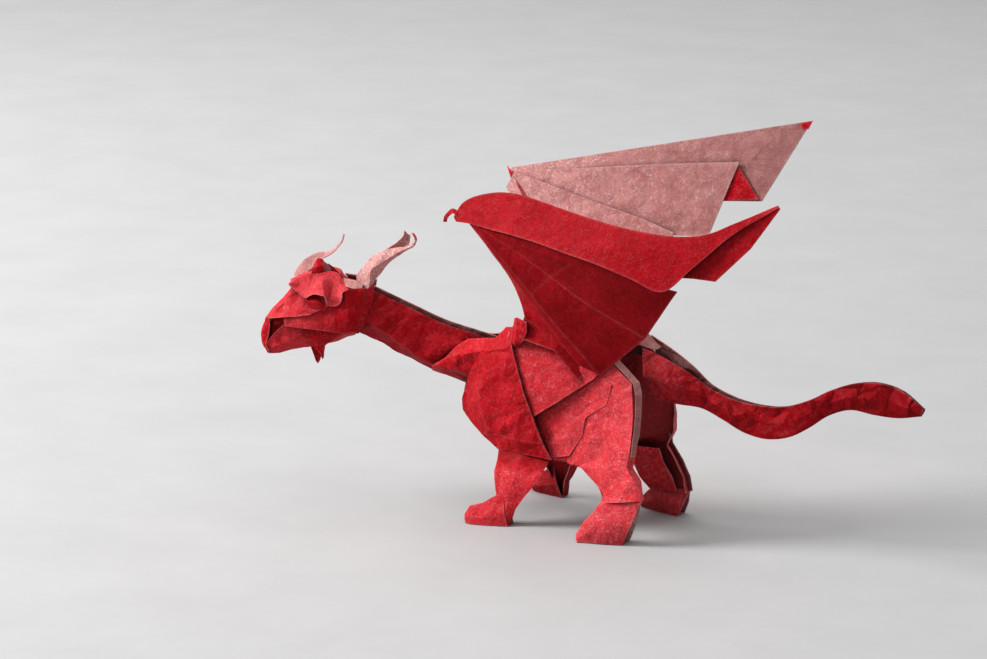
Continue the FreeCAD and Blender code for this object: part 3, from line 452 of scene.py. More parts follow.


# A flap's settings: step is the size of its grid, curved is the way in which it bends smoothly, its painted light
# level and the rows of it give the light and shade painted on its color across and down, crumple and crush are its
# large and small creases, held columns are not crumpled, worn lists rubbed folds (kind, line, from, to, strength),
# and fibrous is how much its fibres show. The front is red and the back pink: pinkOut turns the flap over, and inside
# sets another paper on the back: the red one, or a dark red that paints shade on the insides.
def foldSheet(name, rows, flap, outward):
    step = flap.get("step", paperSettings["step"])
    columnCounts = stepCounts(rows, step)
    rowCounts = stepCounts([[row[i] for row in rows] for i in range(len(rows[0]))], step)
    curved = flap.get("curved", "")
    lines = [smoothLine(row, columnCounts, curved == "across", flap.get("sharpColumns", ())) for row in rows]
    columns = [smoothLine([line[i] for line in lines], rowCounts, curved == "down") for i in range(len(lines[0]))]
    across, down = len(columns), len(columns[0])
    bpy.ops.mesh.primitive_grid_add(x_subdivisions=across - 1, y_subdivisions=down - 1,
                                    size=paperSettings["gridSize"] * mm)
    sheet = bpy.context.object
    sheet.name = name
    mesh = sheet.data
    places = [columns[i][j] * mm for j in range(down) for i in range(across)]
    mesh.vertices.foreach_set("co", [c for place in places for c in place])
    markWearAndPaintedLight(mesh, flap, across, down, columnCounts, rowCounts)
    faceOutward(sheet, outward)
    mesh.uv_layers[0].name = "flatSheet"
    layFlat(sheet)
    crumpleSheet(mesh, flap)
    for material in paperMaterials:
        mesh.materials.append(material)
    thickness = sheet.modifiers.new("thickness", 'SOLIDIFY')
    thickness.thickness = flap.get("thickness", paperSettings["thickness"]) * mm
    thickness.offset = 0.0
    front, back = (pinkSlot, redSlot) if flap.get("pinkOut") else (redSlot, pinkSlot)
    # painted shade: the dark inside paper goes on the back of flaps whose insides lie in shadow
    back = {"dark": paintedShadeSlot, "red": redSlot}.get(flap.get("inside"), back)
    thickness.material_offset = back - front
    thickness.material_offset_rim = edgeSlot - front
    mesh.polygons.foreach_set("material_index", [front] * len(mesh.polygons))
    bpy.ops.object.modifier_apply(modifier=thickness.name)
    bpy.ops.object.shade_smooth_by_angle(angle=math.radians(paperSettings["smoothAngle"]))
    sheets.append(sheet)


# worn folds run along lines of fold points, and raw edges along the rim; the painted light and shade level runs across
# and down
def markWearAndPaintedLight(mesh, flap, across, down, columnCounts, rowCounts):
    columnPlace = [sum(columnCounts[:i]) for i in range(len(columnCounts) + 1)]
    rowPlace = [sum(rowCounts[:i]) for i in range(len(rowCounts) + 1)]
    worn = [0.0] * (across * down)
    for kind, line, start, end, strength in flap.get("worn", ()):
        if kind == "row":
            cells = [rowPlace[line] * across + i for i in range(columnPlace[start], columnPlace[end] + 1)]
        else:
            cells = [j * across + columnPlace[line] for j in range(rowPlace[start], rowPlace[end] + 1)]
        for cell in cells:
            worn[cell] = max(worn[cell], strength)
    rim = [1.0 if i in (0, across - 1) or j in (0, down - 1) else 0.0
           for j in range(down) for i in range(across)]
    # painted light and shade: the flap's level across its columns times its level down its rows
    paintedLightStart, paintedLightEnd = flap.get("paintedLight", (1.0, 1.0))
    rowPaintedLight = flap.get("paintedLightRows", [1.0] * len(rowPlace))
    rowLevels = [rowPaintedLight[k] + (rowPaintedLight[k + 1] - rowPaintedLight[k]) * n / rowCounts[k]
                 for k in range(len(rowCounts)) for n in range(rowCounts[k])] + [rowPaintedLight[-1]]
    paintedLight = [(paintedLightStart + (paintedLightEnd - paintedLightStart) * i / (across - 1)) * rowLevels[j]
           for j in range(down) for i in range(across)]
    held = [columnPlace[k] for k in flap.get("held", ())]
    free = [min([abs(i - k) / paperSettings["heldReach"] for k in held] + [1.0])
            * (1 - flap.get("crumpleFade", 0.0) * j / (down - 1)) for j in range(down) for i in range(across)]
    crush = [flap.get("crush", 0.5)] * len(rim)
    fibrous = [flap.get("fibrous", 1.0)] * len(rim)
    for name, values in (("wornFold", worn), ("rawEdge", rim), ("paintedLight", paintedLight), ("free", free), ("crush", crush),
                         ("fibrous", fibrous)):
        mesh.attributes.new(name, 'FLOAT', 'POINT').data.foreach_set("value", values)


# a flap's front looks outward: away from a point, or along a direction
def faceOutward(sheet, outward):
    kind, value = outward
    total = 0.0
    for face in sheet.data.polygons:
        away = face.center - value * mm if kind == "from" else value
        total += face.normal.dot(away) * face.area
    bpy.ops.object.mode_set(mode='EDIT')
    bpy.ops.mesh.select_all(action='SELECT')
    bpy.ops.mesh.remove_doubles(threshold=paperSettings["mergeReach"] * mm)
    if total < 0:
        bpy.ops.mesh.flip_normals()
    bpy.ops.object.mode_set(mode='OBJECT')


# the flap's own flat map, to size
def layFlat(sheet):
    bpy.ops.object.mode_set(mode='EDIT')
    bpy.ops.mesh.select_all(action='SELECT')
    bpy.ops.uv.unwrap(method='ANGLE_BASED', margin=0.0)
    bpy.ops.object.mode_set(mode='OBJECT')
    layer = sheet.data.uv_layers["flatSheet"].data
    flatArea = 0.0
    for face in sheet.data.polygons:
        corners = [layer[i].uv for i in face.loop_indices]
        for k in range(1, len(corners) - 1):
            flatArea += abs((corners[k] - corners[0]).cross(corners[k + 1] - corners[0])) / 2
    fullArea = sum(face.area for face in sheet.data.polygons)
    scale = math.sqrt(fullArea / max(flatArea, 1e-12))
    shiftX, shiftY = random.uniform(0, paperSettings["mapShift"]), random.uniform(0, paperSettings["mapShift"])
    for corner in layer:
        corner.uv = (corner.uv.x * scale + shiftX, corner.uv.y * scale + shiftY)


# small hills with ridges between them, and a fine ripple
def crumpleSheet(mesh, flap):
    share = flap.get("crumple", 1.0)
    bend = paperSettings["crumple"] * share * mm
    ripple = paperSettings["ripple"] * share * mm
    wide = 1000 / paperSettings["crumpleSize"]
    fine = 1000 / paperSettings["rippleSize"]
    free = mesh.attributes["free"].data
    moved = []
    for vertex in mesh.vertices:
        place = vertex.co
        near = noise.voronoi(place * wide)[0]
        lift = bend * (paperSettings["swell"] * noise.noise(place * wide)
                       + paperSettings["ridge"] * (near[1] - near[0] - paperSettings["ridgeMiddle"]))
        lift = (lift + ripple * noise.noise(place * fine)) * free[vertex.index].value
        moved.append(place + vertex.normal * lift)
    mesh.vertices.foreach_set("co", [c for place in moved for c in place])


def oneSide(place, points, side):
    return [place(*(percent / 100 for percent in point), side) for point in points]


def bothSides(place, points):
    return oneSide(place, points, left) + oneSide(place, points[-2::-1], right)


def foldOver(name, place, flap, inside):
    foldSheet(name, [bothSides(place, points) for points in flap["folds"]], flap, ("from", inside))


def foldSide(name, place, flap, side, outward):
    foldSheet(name, [oneSide(place, points, side) for points in flap["folds"]], flap, outward)


sheets = []
bodyMiddle = torsoAt(0.45, 0, 0.45)
nearSide = ("along", Vector((0, -1, 0)))
farSide = ("along", Vector((0, 1, 0)))
underSide = ("along", Vector((0, 0, -1)))


# chest: wraps the front, and its back edges are the long pleats over the flanks
# painted shade: the chest's color is a little darker
chestFlap = {"step": 1.02, "paintedLight": (0.88, 0.88), "crush": 1.0, "worn": [("row", 5, 0, 3, 0.6)], "folds": [
    [(29, 57, 99), (25, 52, 98), (21, 42, 92), (18, 36, 86), (10, 0, 50)],
    [(33, 97, 86), (25, 86, 82), (19, 78, 79), (13, 63, 78), (6, 0, 46)],
    [(38, 108, 66), (29, 100, 62), (17, 86, 60), (6, 58, 58), (-3, 0, 44)],
    [(43, 114, 46), (34, 110, 43), (15, 90, 38), (0, 42, 33), (-4, 0, 33)],
    [(48, 116, 27), (36, 115, 28), (17, 90, 24), (0, 42, 24), (-4, 0, 23)],
    [(52, 114, 13), (36, 112, 13), (22, 90, 12), (13, 66, 8), (8, 0, 10)],
    [(56, 108, 0), (40, 105, 1), (30, 97, 2), (24, 84, 0), (20, 0, 2)],
]}
foldOver("chest", torsoAt, chestFlap, bodyMiddle)


# back: the roof over the back and the triangle of flank under each wing
# painted light: the roof's color is lighter, and painted shade is on its inside paper
backFlap = {"step": 1.2, "paintedLight": (1.15, 1.15), "inside": "dark", "curved": "across", "sharpColumns": (3,), "folds": [
    [(30, 99, 45), (29, 92, 78), (28, 62, 96), (27, 0, 100)],
    [(46, 109, 33), (45, 98, 70), (45, 80, 95), (45, 0, 100)],
    [(61, 108, 50), (60, 100, 77), (60, 80, 95), (60, 0, 99)],
    [(78, 103, 70), (79, 95, 82), (80, 68, 95), (80, 0, 100)],
    [(86, 82, 87), (88, 66, 93), (90, 40, 100), (92, 0, 103)],
]}
foldOver("back", torsoAt, backFlap, bodyMiddle)


# rump: the turned edge between back, haunches and tail, with its pink side out
# painted shade: the turned edge is darker
rumpFlap = {"step": 0.6, "paintedLight": (0.75, 0.75), "pinkOut": True, "folds": [
    [(83, 62, 84), (86, 53, 94), (91, 45, 100), (94, 20, 102), (94, 0, 103)],
    [(86, 56, 80), (89, 46, 90), (93, 36, 97), (102, 16, 92), (103, 0, 93)],
]}
foldOver("rump", torsoAt, rumpFlap, bodyMiddle)
# painted shade: the small tab is darkened almost to black, as if deep in the shadow of the rump
rumpTab = {"step": 0.5, "paintedLight": (0.15, 0.15), "pinkOut": True, "folds": [
    [(86, 10, 95.5), (90, 6, 103.5), (95.5, -4, 98.5)],
    [(86, 14, 86), (90, 12, 86), (98.5, 4, 85)],
]}
foldSide("rumpTab", torsoAt, rumpTab, left, nearSide)


# neck: a folded tube, and its right wall stands above the left one along the crest
# painted shade: the neck's color is darker
neckFlap = {"step": 0.92, "crush": 1.4, "paintedLight": (0.8, 0.8), "crumple": 1.4, "held": (0, 6), "curved": "down",
            "seam": 0.7, "worn": [("column", 2, 0, 4, 0.7)], "folds": [
    [(-30, 20, 100), (-15, 130, 60), (-2, 130, 30), (5, 0, 5)],
    [(-4, 20, 95), (19, 70, 52), (34, 80, 8), (40, 0, -10)],
    [(30, 20, 88), (36, 70, 50), (46, 90, 8), (52, 0, -10)],
    [(62, 20, 90), (66, 75, 58), (72, 95, 22), (78, 0, -4)],
    [(100, 20, 93), (103, 80, 65), (106, 95, 40), (116, 0, 0)],
]}
neckRows = [bothSides(neckAt, points) for points in neckFlap["folds"]]
for row in neckRows:
    row[-1] = row[-1] + Vector((0, 0, neckFlap["seam"]))
foldSheet("neck", neckRows, neckFlap, ("from", neckAt(0.4, 0, 0.4)))


# collar: laps over the foot of the neck and runs back to the shoulders
collarFlap = {
    "step": 0.78, "crumple": 1.3, "crush": 1.1, "worn": [("row", 0, 0, 8, 0.8)],
    "front": [(5, 55, 83), (17, 90, 55), (26, 110, 32), (38, 120, 8), (42, 0, -12)],
    "rear": [(20, 36, 87), (17, 50, 82), (14, 62, 77), (5, 54, 57), (-1, 0, 42)],
}
foldSheet("collar", [bothSides(neckAt, collarFlap["front"]), bothSides(torsoAt, collarFlap["rear"])],
          collarFlap, ("from", neckAt(0.2, 0, 0.4)))


# tail: two walls folded along the keel, waving between two smooth edges
# painted light and shade: the tail is lighter at its root and darker toward its tip, and its far wall is darker than
# the near one
tailFlap = {
    "step": 0.98, "paintedLight": (0.95, 0.7), "paintedLightRows": (1.3, 1.25, 1.1, 1.0, 0.95, 0.9, 0.9, 0.9, 0.85, 0.8, 0.75, 0.7, 0.7),
    "crush": 3.0, "crumple": 1.4, "crumpleFade": 0.8, "held": (0, 2, 4), "curved": "down",
    "seam": 1.9, "seamTaper": 0.45, "worn": [("column", 2, 0, 12, 0.7)], "stations": 13, "fineSteps": 16,
    "crest": [(0, 97), (13, 73), (27, 36), (39, 26), (53, 31), (68, 66), (80, 85), (90, 83), (100, 54)],
    "keel": [(4, 12), (15, 9), (23, 7), (33, -16), (44, -26), (55, -13), (66, 24), (76, 40), (86, 34), (99, 44)],
}


# points at even distances along a smooth line
def evenly(points, count):
    fine = smoothLine(points, [tailFlap["fineSteps"]] * (len(points) - 1), True)
    lengths = [0.0]
    for a, b in zip(fine, fine[1:]):
        lengths.append(lengths[-1] + (b - a).length)
    chosen = []
    for i in range(count):
        wanted = lengths[-1] * i / (count - 1)
        k = min(max(j for j in range(len(fine)) if lengths[j] <= wanted + 1e-9), len(fine) - 2)
        share = (wanted - lengths[k]) / max(lengths[k + 1] - lengths[k], 1e-9)
        chosen.append(fine[k].lerp(fine[k + 1], share))
    return chosen


crestLine = evenly([tailAt(along / 100, 0, up / 100) for along, up in tailFlap["crest"]], tailFlap["stations"])
keelLine = evenly([tailAt(along / 100, 0, up / 100) for along, up in tailFlap["keel"]], tailFlap["stations"])
tailRows = []
for i in range(tailFlap["stations"]):
    share = i / (tailFlap["stations"] - 1)
    wall = Vector((0, tailSizes["halfWidth"] * max(1 - share / tailSizes["taper"], tailSizes["flatness"]), 0))
    overlap = Vector((0, 0, tailFlap["seam"] * max(1 - share / tailFlap["seamTaper"], 0)))
    middle = (crestLine[i] + keelLine[i]) / 2
    tailRows.append([crestLine[i] - wall / 2, middle - wall, keelLine[i], middle + wall,
                     crestLine[i] + wall / 2 + overlap])
foldSheet("tail", tailRows, tailFlap, ("from", torsoAt(1.3, 0, 0.55)))


# head: snout and crown in one fold, with the rim of the nose, the palate and the lower jaw
headMiddle = headAt(0.5, 0, 0.45)
# painted light: the snout is lighter
snoutFlap = {"step": 0.6, "crush": 1.2, "fibrous": 0.6, "paintedLight": (1.2, 1.1), "worn": [("column", 0, 0, 5, 0.9)],
             "folds": [
    [(97, 40, 41), (98, 18, 42), (99, 0, 42)],
    [(82, 78, 45), (85, 48, 57), (86, 0, 61)],
    [(70, 88, 46), (76, 52, 71), (77, 0, 74)],
    [(57, 98, 49), (57, 66, 80), (56, 0, 86)],
    [(40, 104, 60), (38, 75, 86), (37, 0, 92)],
    [(10, 80, 62), (8, 60, 78), (6, 0, 82)],
]}
noseFlap = {"step": 0.45, "fibrous": 0.6, "curved": "down", "worn": [("column", 0, 0, 4, 0.9)], "folds": [
    [(97, 36, 42), (100, 20, 41), (99, 0, 42)],
    [(96, 40, 30), (102, 24, 31), (104, 0, 28)],
    [(98, 36, 18), (103, 22, 18), (105, 0, 18)],
    [(100, 32, 8), (102, 20, 7), (103, 0, 6)],
    [(97, 34, 2), (99, 20, -1), (96, 0, -3)],
]}
palateFlap = {"step": 0.8, "folds": [
    [(80, 36, 48), (90, 14, 46), (98.5, 0, 43.5)],
    [(80, 38, 36), (88, 14, 30), (97, 0, 28)],
    [(82, 40, 30), (91, 22, 16), (103, 0, 5)],
]}
# painted light: the jaw is lighter
jawFlap = {"step": 0.6, "crush": 1.2, "fibrous": 0.6, "paintedLight": (1.15, 1.15),
           "worn": [("column", 0, 0, 2, 1.0), ("column", 4, 0, 2, 1.0)], "folds": [
    [(101, 26, 10), (99, 18, 2), (96, 0, -3)],
    [(93, 42, 22), (90, 42, 9), (88, 0, -2)],
    [(82, 52, 36), (76, 52, 16), (77, 0, 3)],
    [(60, 50, 38), (60, 54, 20), (61, 0, 6)],
    [(38, 56, 36), (41, 62, 21), (45, 0, 10)],
    [(14, 66, 34), (17, 66, 28), (17, 0, 22)],
]}
foldOver("snout", headAt, snoutFlap, headMiddle)
foldOver("nose", headAt, noseFlap, headMiddle)
foldOver("palate", headAt, palateFlap, headAt(0.4, 0, 0.4))
foldOver("jaw", headAt, jawFlap, headMiddle)


# cheek, nape, brow and eyelid, the same on both sides of the head
# painted light and shade: the cheek is lighter at its front and darker toward the nape
cheekFlap = {"step": 0.58, "crush": 1.2, "fibrous": 0.6, "paintedLight": (1.3, 0.85),
             "worn": [("row", 2, 0, 5, 1.0), ("column", 3, 1, 2, 0.6), ("column", 4, 0, 2, 0.5)], "folds": [
    [(83, 56, 46), (70, 70, 50), (57, 80, 54), (42, 90, 63), (25, 95, 80), (6, 90, 81)],
    [(82, 70, 40), (70, 82, 42), (56, 92, 42), (37, 100, 46), (22, 114, 54), (6, 93, 64)],
    [(82, 72, 34), (70, 86, 33), (57, 96, 32), (39, 106, 30), (25, 106, 28), (14, 90, 29)],
]}
napeFlap = {"step": 0.5, "worn": [("column", 1, 0, 3, 0.5)], "folds": [
    [(8, 84, 80), (3, 80, 80), (-2, 60, 84)],
    [(8, 88, 64), (5, 84, 66), (0, 60, 68)],
    [(11, 86, 44), (8, 82, 50), (3, 60, 46)],
    [(18, 84, 29), (16, 80, 27), (13, 60, 26)],
]}
# painted light: the brow is lighter
browFlap = {"step": 0.53, "crush": 1.2, "fibrous": 0.6, "paintedLight": (1.3, 1.3), "curved": "across",
            "sharpColumns": (1, 2, 4),
            "worn": [("row", 2, 0, 9, 1.0), ("column", 4, 0, 2, 0.5), ("column", 6, 0, 2, 0.4)], "folds": [
    [(76, -10, 74), (72, -10, 76), (68, -10, 78), (60, -12, 82), (47, -12, 87),
     (39, -12, 88), (35, -12, 88), (30, -10, 86), (26, -10, 84), (18, -10, 80)],
    [(78, 50, 83), (73, 50, 86), (70, 50, 89), (60, 54, 94), (47, 56, 96),
     (39, 56, 98), (35, 56, 97), (31, 54, 95), (29, 58, 91), (23, 80, 83)],
    [(77, 60, 82), (64, 88, 70), (61, 94, 68), (53, 117, 74), (44, 122, 72),
     (39, 104, 60), (32, 114, 61), (28, 124, 67), (27, 114, 76), (21, 97, 79)],
]}
eyelidFlap = {"step": 0.4, "fibrous": 0.6, "curved": "across", "folds": [
    [(62, 60, 70), (52, 60, 76), (38, 66, 70)],
    [(61, 92, 66), (51, 108, 64), (41, 104, 57)],
    [(58, 92, 58), (50, 102, 57), (43, 100, 54)],
]}
for side, sideName in ((left, "Left"), (right, "Right")):
    for name, flap, inside in (("cheek", cheekFlap, headMiddle), ("nape", napeFlap, headAt(0.3, 0, 0.45)),
                               ("brow", browFlap, headMiddle), ("eyelid", eyelidFlap, headMiddle)):
        foldSide(name + sideName, headAt, flap, side, ("from", inside))


# horns: strips folded along their length, and the left one ends in a thin curl
# painted light: the curled horn is lighter
curledHorn = {"step": 0.48, "paintedLight": (1.2, 1.2), "curved": "down", "pinkOut": True,
              "worn": [("column", 1, 1, 9, 0.6)], "folds": [
    [(15, 40, 84), (6, 62, 74), (2, 50, 74)],
    [(14, 50, 95), (2, 88, 86), (-2, 62, 88)],
    [(7, 60, 106), (0, 95, 103), (-8, 75, 97)],
    [(-2, 70, 119), (-7, 100, 110), (-13, 85, 106)],
    [(-14, 80, 126), (-16, 105, 117), (-20, 95, 115)],
    [(-24, 95, 129), (-26, 112, 125), (-27, 105, 122)],
    [(-33, 105, 131), (-33, 115, 129), (-33, 110, 127)],
    [(-38, 108, 135), (-40, 114, 134), (-40, 110, 132)],
    [(-40, 108, 140), (-42, 112, 140), (-42, 110, 139)],
    [(-37, 105, 147), (-39, 108, 147), (-39, 106, 146)],
]}
# painted light: the broad horn is lighter
broadHorn = {"step": 0.48, "paintedLight": (1.1, 1.1), "curved": "down", "pinkOut": True, "folds": [
    [(12, 40, 82), (6, 60, 72), (2, 50, 74)],
    [(11, 50, 93), (4, 70, 86), (0, 60, 87)],
    [(0, 70, 110), (-3, 90, 100), (-7, 80, 97)],
    [(-12, 80, 119), (-14, 95, 110), (-17, 85, 107)],
    [(-22, 85, 128), (-24, 100, 117), (-27, 90, 115)],
    [(-27, 80, 135), (-29, 95, 126), (-32, 85, 125)],
    [(-28, 75, 141), (-31, 85, 136), (-33, 80, 135)],
]}
hornFront = ("along", Vector((0, -1, 0.3)))
foldSide("hornLeft", headAt, curledHorn, left, hornFront)
foldSide("hornRight", headAt, broadHorn, right, hornFront)


# pointed flaps under the chin
nearSpike = {"step": 0.55, "worn": [("column", 0, 0, 4, 0.6)], "folds": [
    [(65, 66, 36), (39, 80, 34), (22, 78, 32)],
    [(62, 76, 25), (50, 80, 21), (38, 66, 17)],
    [(56, 66, 12), (51, 68, 8), (44, 54, 11)],
    [(50, 54, 1), (48, 54, -1), (45, 50, 4)],
    [(47.5, 48, -5), (46.5, 48, -6), (45.5, 47, -3)],
]}
farSpike = {"step": 0.5, "folds": [
    [(63, 62, 32), (44, 66, 31), (30, 66, 30)],
    [(60, 50, 4), (54, 54, 2), (48, 46, 4)],
    [(55, 46, -13), (53, 44, -16), (51, 42, -12)],
]}
foldSide("spikeLeft", headAt, nearSpike, left, nearSide)
foldSide("spikeRight", headAt, farSpike, right, nearSide)


# crown: the curled brow strip on the right, the rolled fold beside it, and the small folds behind them
stripFlap = {"step": 0.4, "curved": "down", "pinkOut": True, "worn": [("column", 0, 0, 7, 0.7)], "folds": [
    [(75, 66, 88), (71, 34, 84)],
    [(66, 80, 104), (62, 46, 92)],
    [(57, 86, 111), (55, 52, 100)],
    [(51, 82, 114), (49, 57, 106)],
    [(41, 76, 116), (40, 62, 113)],
    [(36, 74, 121), (35, 66, 119)],
    [(31, 76, 128), (30, 72, 127)],
    [(29, 80, 136), (28, 77, 135)],
]}
ballFold = {"step": 0.35, "curved": "across", "folds": [
    [(57, 34, 86), (51, 42, 86), (45, 34, 86)],
    [(56.5, 34, 100), (51, 48, 103), (45, 34, 104)],
    [(55, 20, 104), (50, 22, 112), (45.5, 18, 109)],
]}
tabFlap = {"step": 0.4, "pinkOut": True, "folds": [
    [(47, 20, 86), (42, 16, 86), (37, 16, 86)],
    [(45.5, 16, 108), (42, 12, 105), (39, 14, 100)],
]}
crestFlap = {"step": 0.4, "folds": [
    [(44, 6, 86), (34, 12, 86), (25, 22, 84)],
    [(41.5, 2, 105), (36, 4, 100), (29, 12, 92)],
]}
templeFlap = {"step": 0.4, "pinkOut": True, "folds": [
    [(27, 50, 90), (16, 52, 88), (8, 55, 85)],
    [(24, 91, 82), (16, 94, 80), (9, 90, 79)],
]}
for name, flap, side in (("browStrip", stripFlap, right), ("ballFold", ballFold, left), ("browTab", tabFlap, left),
                         ("headCrest", crestFlap, left), ("templeLeft", templeFlap, left),
                         ("templeRight", templeFlap, right)):
    foldSide(name, headAt, flap, side, ("along", Vector((0, -1, 0.4))))
print("head folded")


# feet: a folded roof over a flat sole, from sections ((along, out, width), the crease's point)
footSizes = {"halfWidth": 2.0, "bulge": 0.85, "slope": 0.45, "rim": 1, "ridge": 1.8, "soleHeight": 0.14}


def foldFoot(name, place, side, flap, sections):
    rows = []
    for (along, out, width), (creaseAlong, creaseOut, creaseUp) in sections:
        half = width * footSizes["halfWidth"] / legSizes["stanceHalfWidth"]
        bulge, ridge, rim = half * footSizes["bulge"], footSizes["ridge"], footSizes["rim"]
        slopeAlong, slopeOut, slopeUp = (along + creaseAlong) / 2, (out + creaseOut) / 2, creaseUp * footSizes["slope"]
        outer = [(along, out + half, rim), (slopeAlong, slopeOut + bulge, slopeUp),
                 (creaseAlong, creaseOut + ridge, creaseUp)]
        inner = [(creaseAlong, creaseOut - ridge, creaseUp), (slopeAlong, slopeOut - bulge, slopeUp),
                 (along, out - half, rim)]
        rows.append(oneSide(place, outer + inner, side))
    middle = sum((point for row in rows for point in row), Vector()) / (len(rows) * len(rows[0]))
    foldSheet(name, rows, flap, ("from", middle))
    soleRows = [[Vector((row[i].x, row[i].y, footSizes["soleHeight"])) for i in (0, -1)] for row in rows]
    foldSheet(name + "Sole", soleRows, {"crumple": 0.0}, underSide)


# hind quarter: lower flank, thigh and shin in one sheet that wraps the leg, with a hem under the belly,
# a patch over the thigh, and a turned pink lip along its back edge
# painted light: the flank's color grows lighter toward the haunch, and painted shade is on its inside paper
flankFlap = {"step": 0.98, "paintedLight": (1.12, 1.33), "crush": 0.75, "inside": "dark", "worn": [("column", 3, 0, 7, 0.5)],
             "flank": [
    [(42, 90, 44), (60, 92, 58), (77, 93, 75), (83, 84, 86), (97.5, 96, 70), (98.5, 80, 71)],
    [(46, 93, 25), (62, 96, 36), (75, 99, 50), (86, 99, 58), (100, 112, 46), (102, 94, 47)],
    [(50, 95, 10), (64, 97, 18), (71, 101, 25), (84, 105, 30), (100.5, 124, 31), (102, 100, 32)],
    [(55, 97, 0), (63, 97, -1), (69, 105, -2), (82, 112, 6), (100, 130, 16), (101, 102, 17)],
], "shinLeft": [
    [(25, 62, 104), (-30, 62, 93), (-38, 80, 96), (0, 85, 102), (38, 89, 110), (43, 74, 107)],
    [(30, 70, 83), (-2, 76, 75), (-9, 88, 76), (22, 95, 81), (54, 95, 91), (58, 78, 90)],
    [(45, 78, 74), (6, 84, 64), (1, 96, 65), (32, 101, 70), (63, 96, 78), (62, 84, 77)],
    [(52, 84, 62), (10, 92, 55), (5, 103, 56), (34, 105, 61), (67, 96, 66), (65, 86, 66)],
], "shinRight": [
    [(25, 62, 104), (-30, 62, 93), (-38, 78, 95), (-5, 87, 100), (30, 91, 106), (34, 74, 107)],
    [(30, 70, 83), (-20, 74, 74), (-30, 84, 76), (10, 92, 80), (45, 93, 84), (47, 78, 84)],
    [(40, 78, 60), (-15, 82, 52), (-22, 92, 54), (15, 100, 56), (57, 96, 60), (57, 84, 60)],
    [(45, 84, 38), (-4, 92, 34), (-12, 102, 36), (20, 105, 35), (63, 98, 36), (61, 86, 36)],
]}
hemFlap = {"step": 1.1, "folds": [
    [(40, 94, 5), (52, 98, 4), (62, 98, 3)],
    [(38, 35, 10), (54, 30, 10), (70, 35, 10)],
]}
# painted light: the patch is lighter, and painted shade is on its inside paper
patchFlap = {"step": 0.8, "inside": "dark", "thickness": 0.12, "paintedLight": (1.25, 1.25), "worn": [("row", 2, 0, 4, 0.3)],
             "folds": [
    [(50, 91, 20), (56, 92, 30), (62, 93, 41), (70, 93, 55), (80, 91, 70)],
    [(53, 98, 10), (62, 99.5, 20), (67, 100.5, 30), (75, 101, 45), (87, 99, 67)],
    [(55, 100, 1), (65, 103, 5), (72, 104.5, 23), (73.5, 103, 38), (85, 102.5, 51)],
]}
# painted shade: the lip is darker
lipFlap = {"step": 0.6, "paintedLight": (0.75, 0.75), "pinkOut": True, "folds": [
    [(80, 91, 80), (84, 87, 88), (98.5, 98, 70), (100.5, 105, 62), (101.5, 115, 44)],
    [(83, 82, 82), (86, 76, 90), (101, 88, 71), (103, 94, 62), (103.5, 104, 44)],
]}
# painted shade: the lip's end is darker
lipEnd = {"step": 0.6, "paintedLight": (0.7, 0.7), "pinkOut": True, "folds": [
    [(101.5, 114, 46), (101.5, 124, 31), (100.8, 131, 14)],
    [(103.5, 103, 46), (103.5, 112, 31), (102, 122, 14)],
]}
# painted shade: the lip on the shin is darker
shinLip = {"step": 0.6, "crumple": 0.3, "paintedLight": (0.6, 0.6), "pinkOut": True, "folds": [
    [(29, 88, 124), (29, 90, 108), (44, 92, 86), (56, 95, 62), (63, 97, 38)],
    [(37, 82, 124), (38, 84, 110), (54, 87, 86), (65, 90, 62), (68, 92, 40)],
]}
# painted light: the hind foot is lighter
hindFoot = {
    "step": 0.7, "paintedLight": (1.3, 1.3), "worn": [("column", 2, 0, 2, 0.8)],
    "Left": [((42, 96, 100), (66, 93, 68)), ((15, 106, 100), (4, 101, 58)), ((-22, 122, 70), (-29, 120, 9))],
    "Right": [((48, 98, 100), (63, 96, 40)), ((18, 106, 100), (2, 103, 40)), ((-22, 117, 70), (-29, 116, 9))],
}

# fore leg: the shin comes down from under the chest, with a painted shadow across its top under the chest's edge
shinFlap = {"step": 0.8, "paintedLightRows": (0.5, 1.15, 1.1, 1.1, 1.1), "inside": "red",
            "worn": [("column", 1, 0, 4, 0.5), ("column", 3, 0, 4, 0.7)], "folds": [
    [(50, 42, 110), (60, 61, 108), (5, 65, 110), (-43, 58, 110), (-30, 42, 110)],
    [(36, 62, 76), (45, 78.5, 76), (0, 85.5, 74), (-43, 80, 72), (-30, 66, 72)],
    [(20, 74, 54), (29, 88, 54), (-5, 94, 49), (-37, 88, 47), (-28, 76, 47)],
    [(2, 88, 25), (7, 98, 25), (-8, 102, 23), (-26, 99, 22), (-20, 89, 22)],
    [(-4, 92, 2), (-1, 104, 2), (-7, 108, 2), (-15, 108, 2), (-13, 94, 2)],
]}
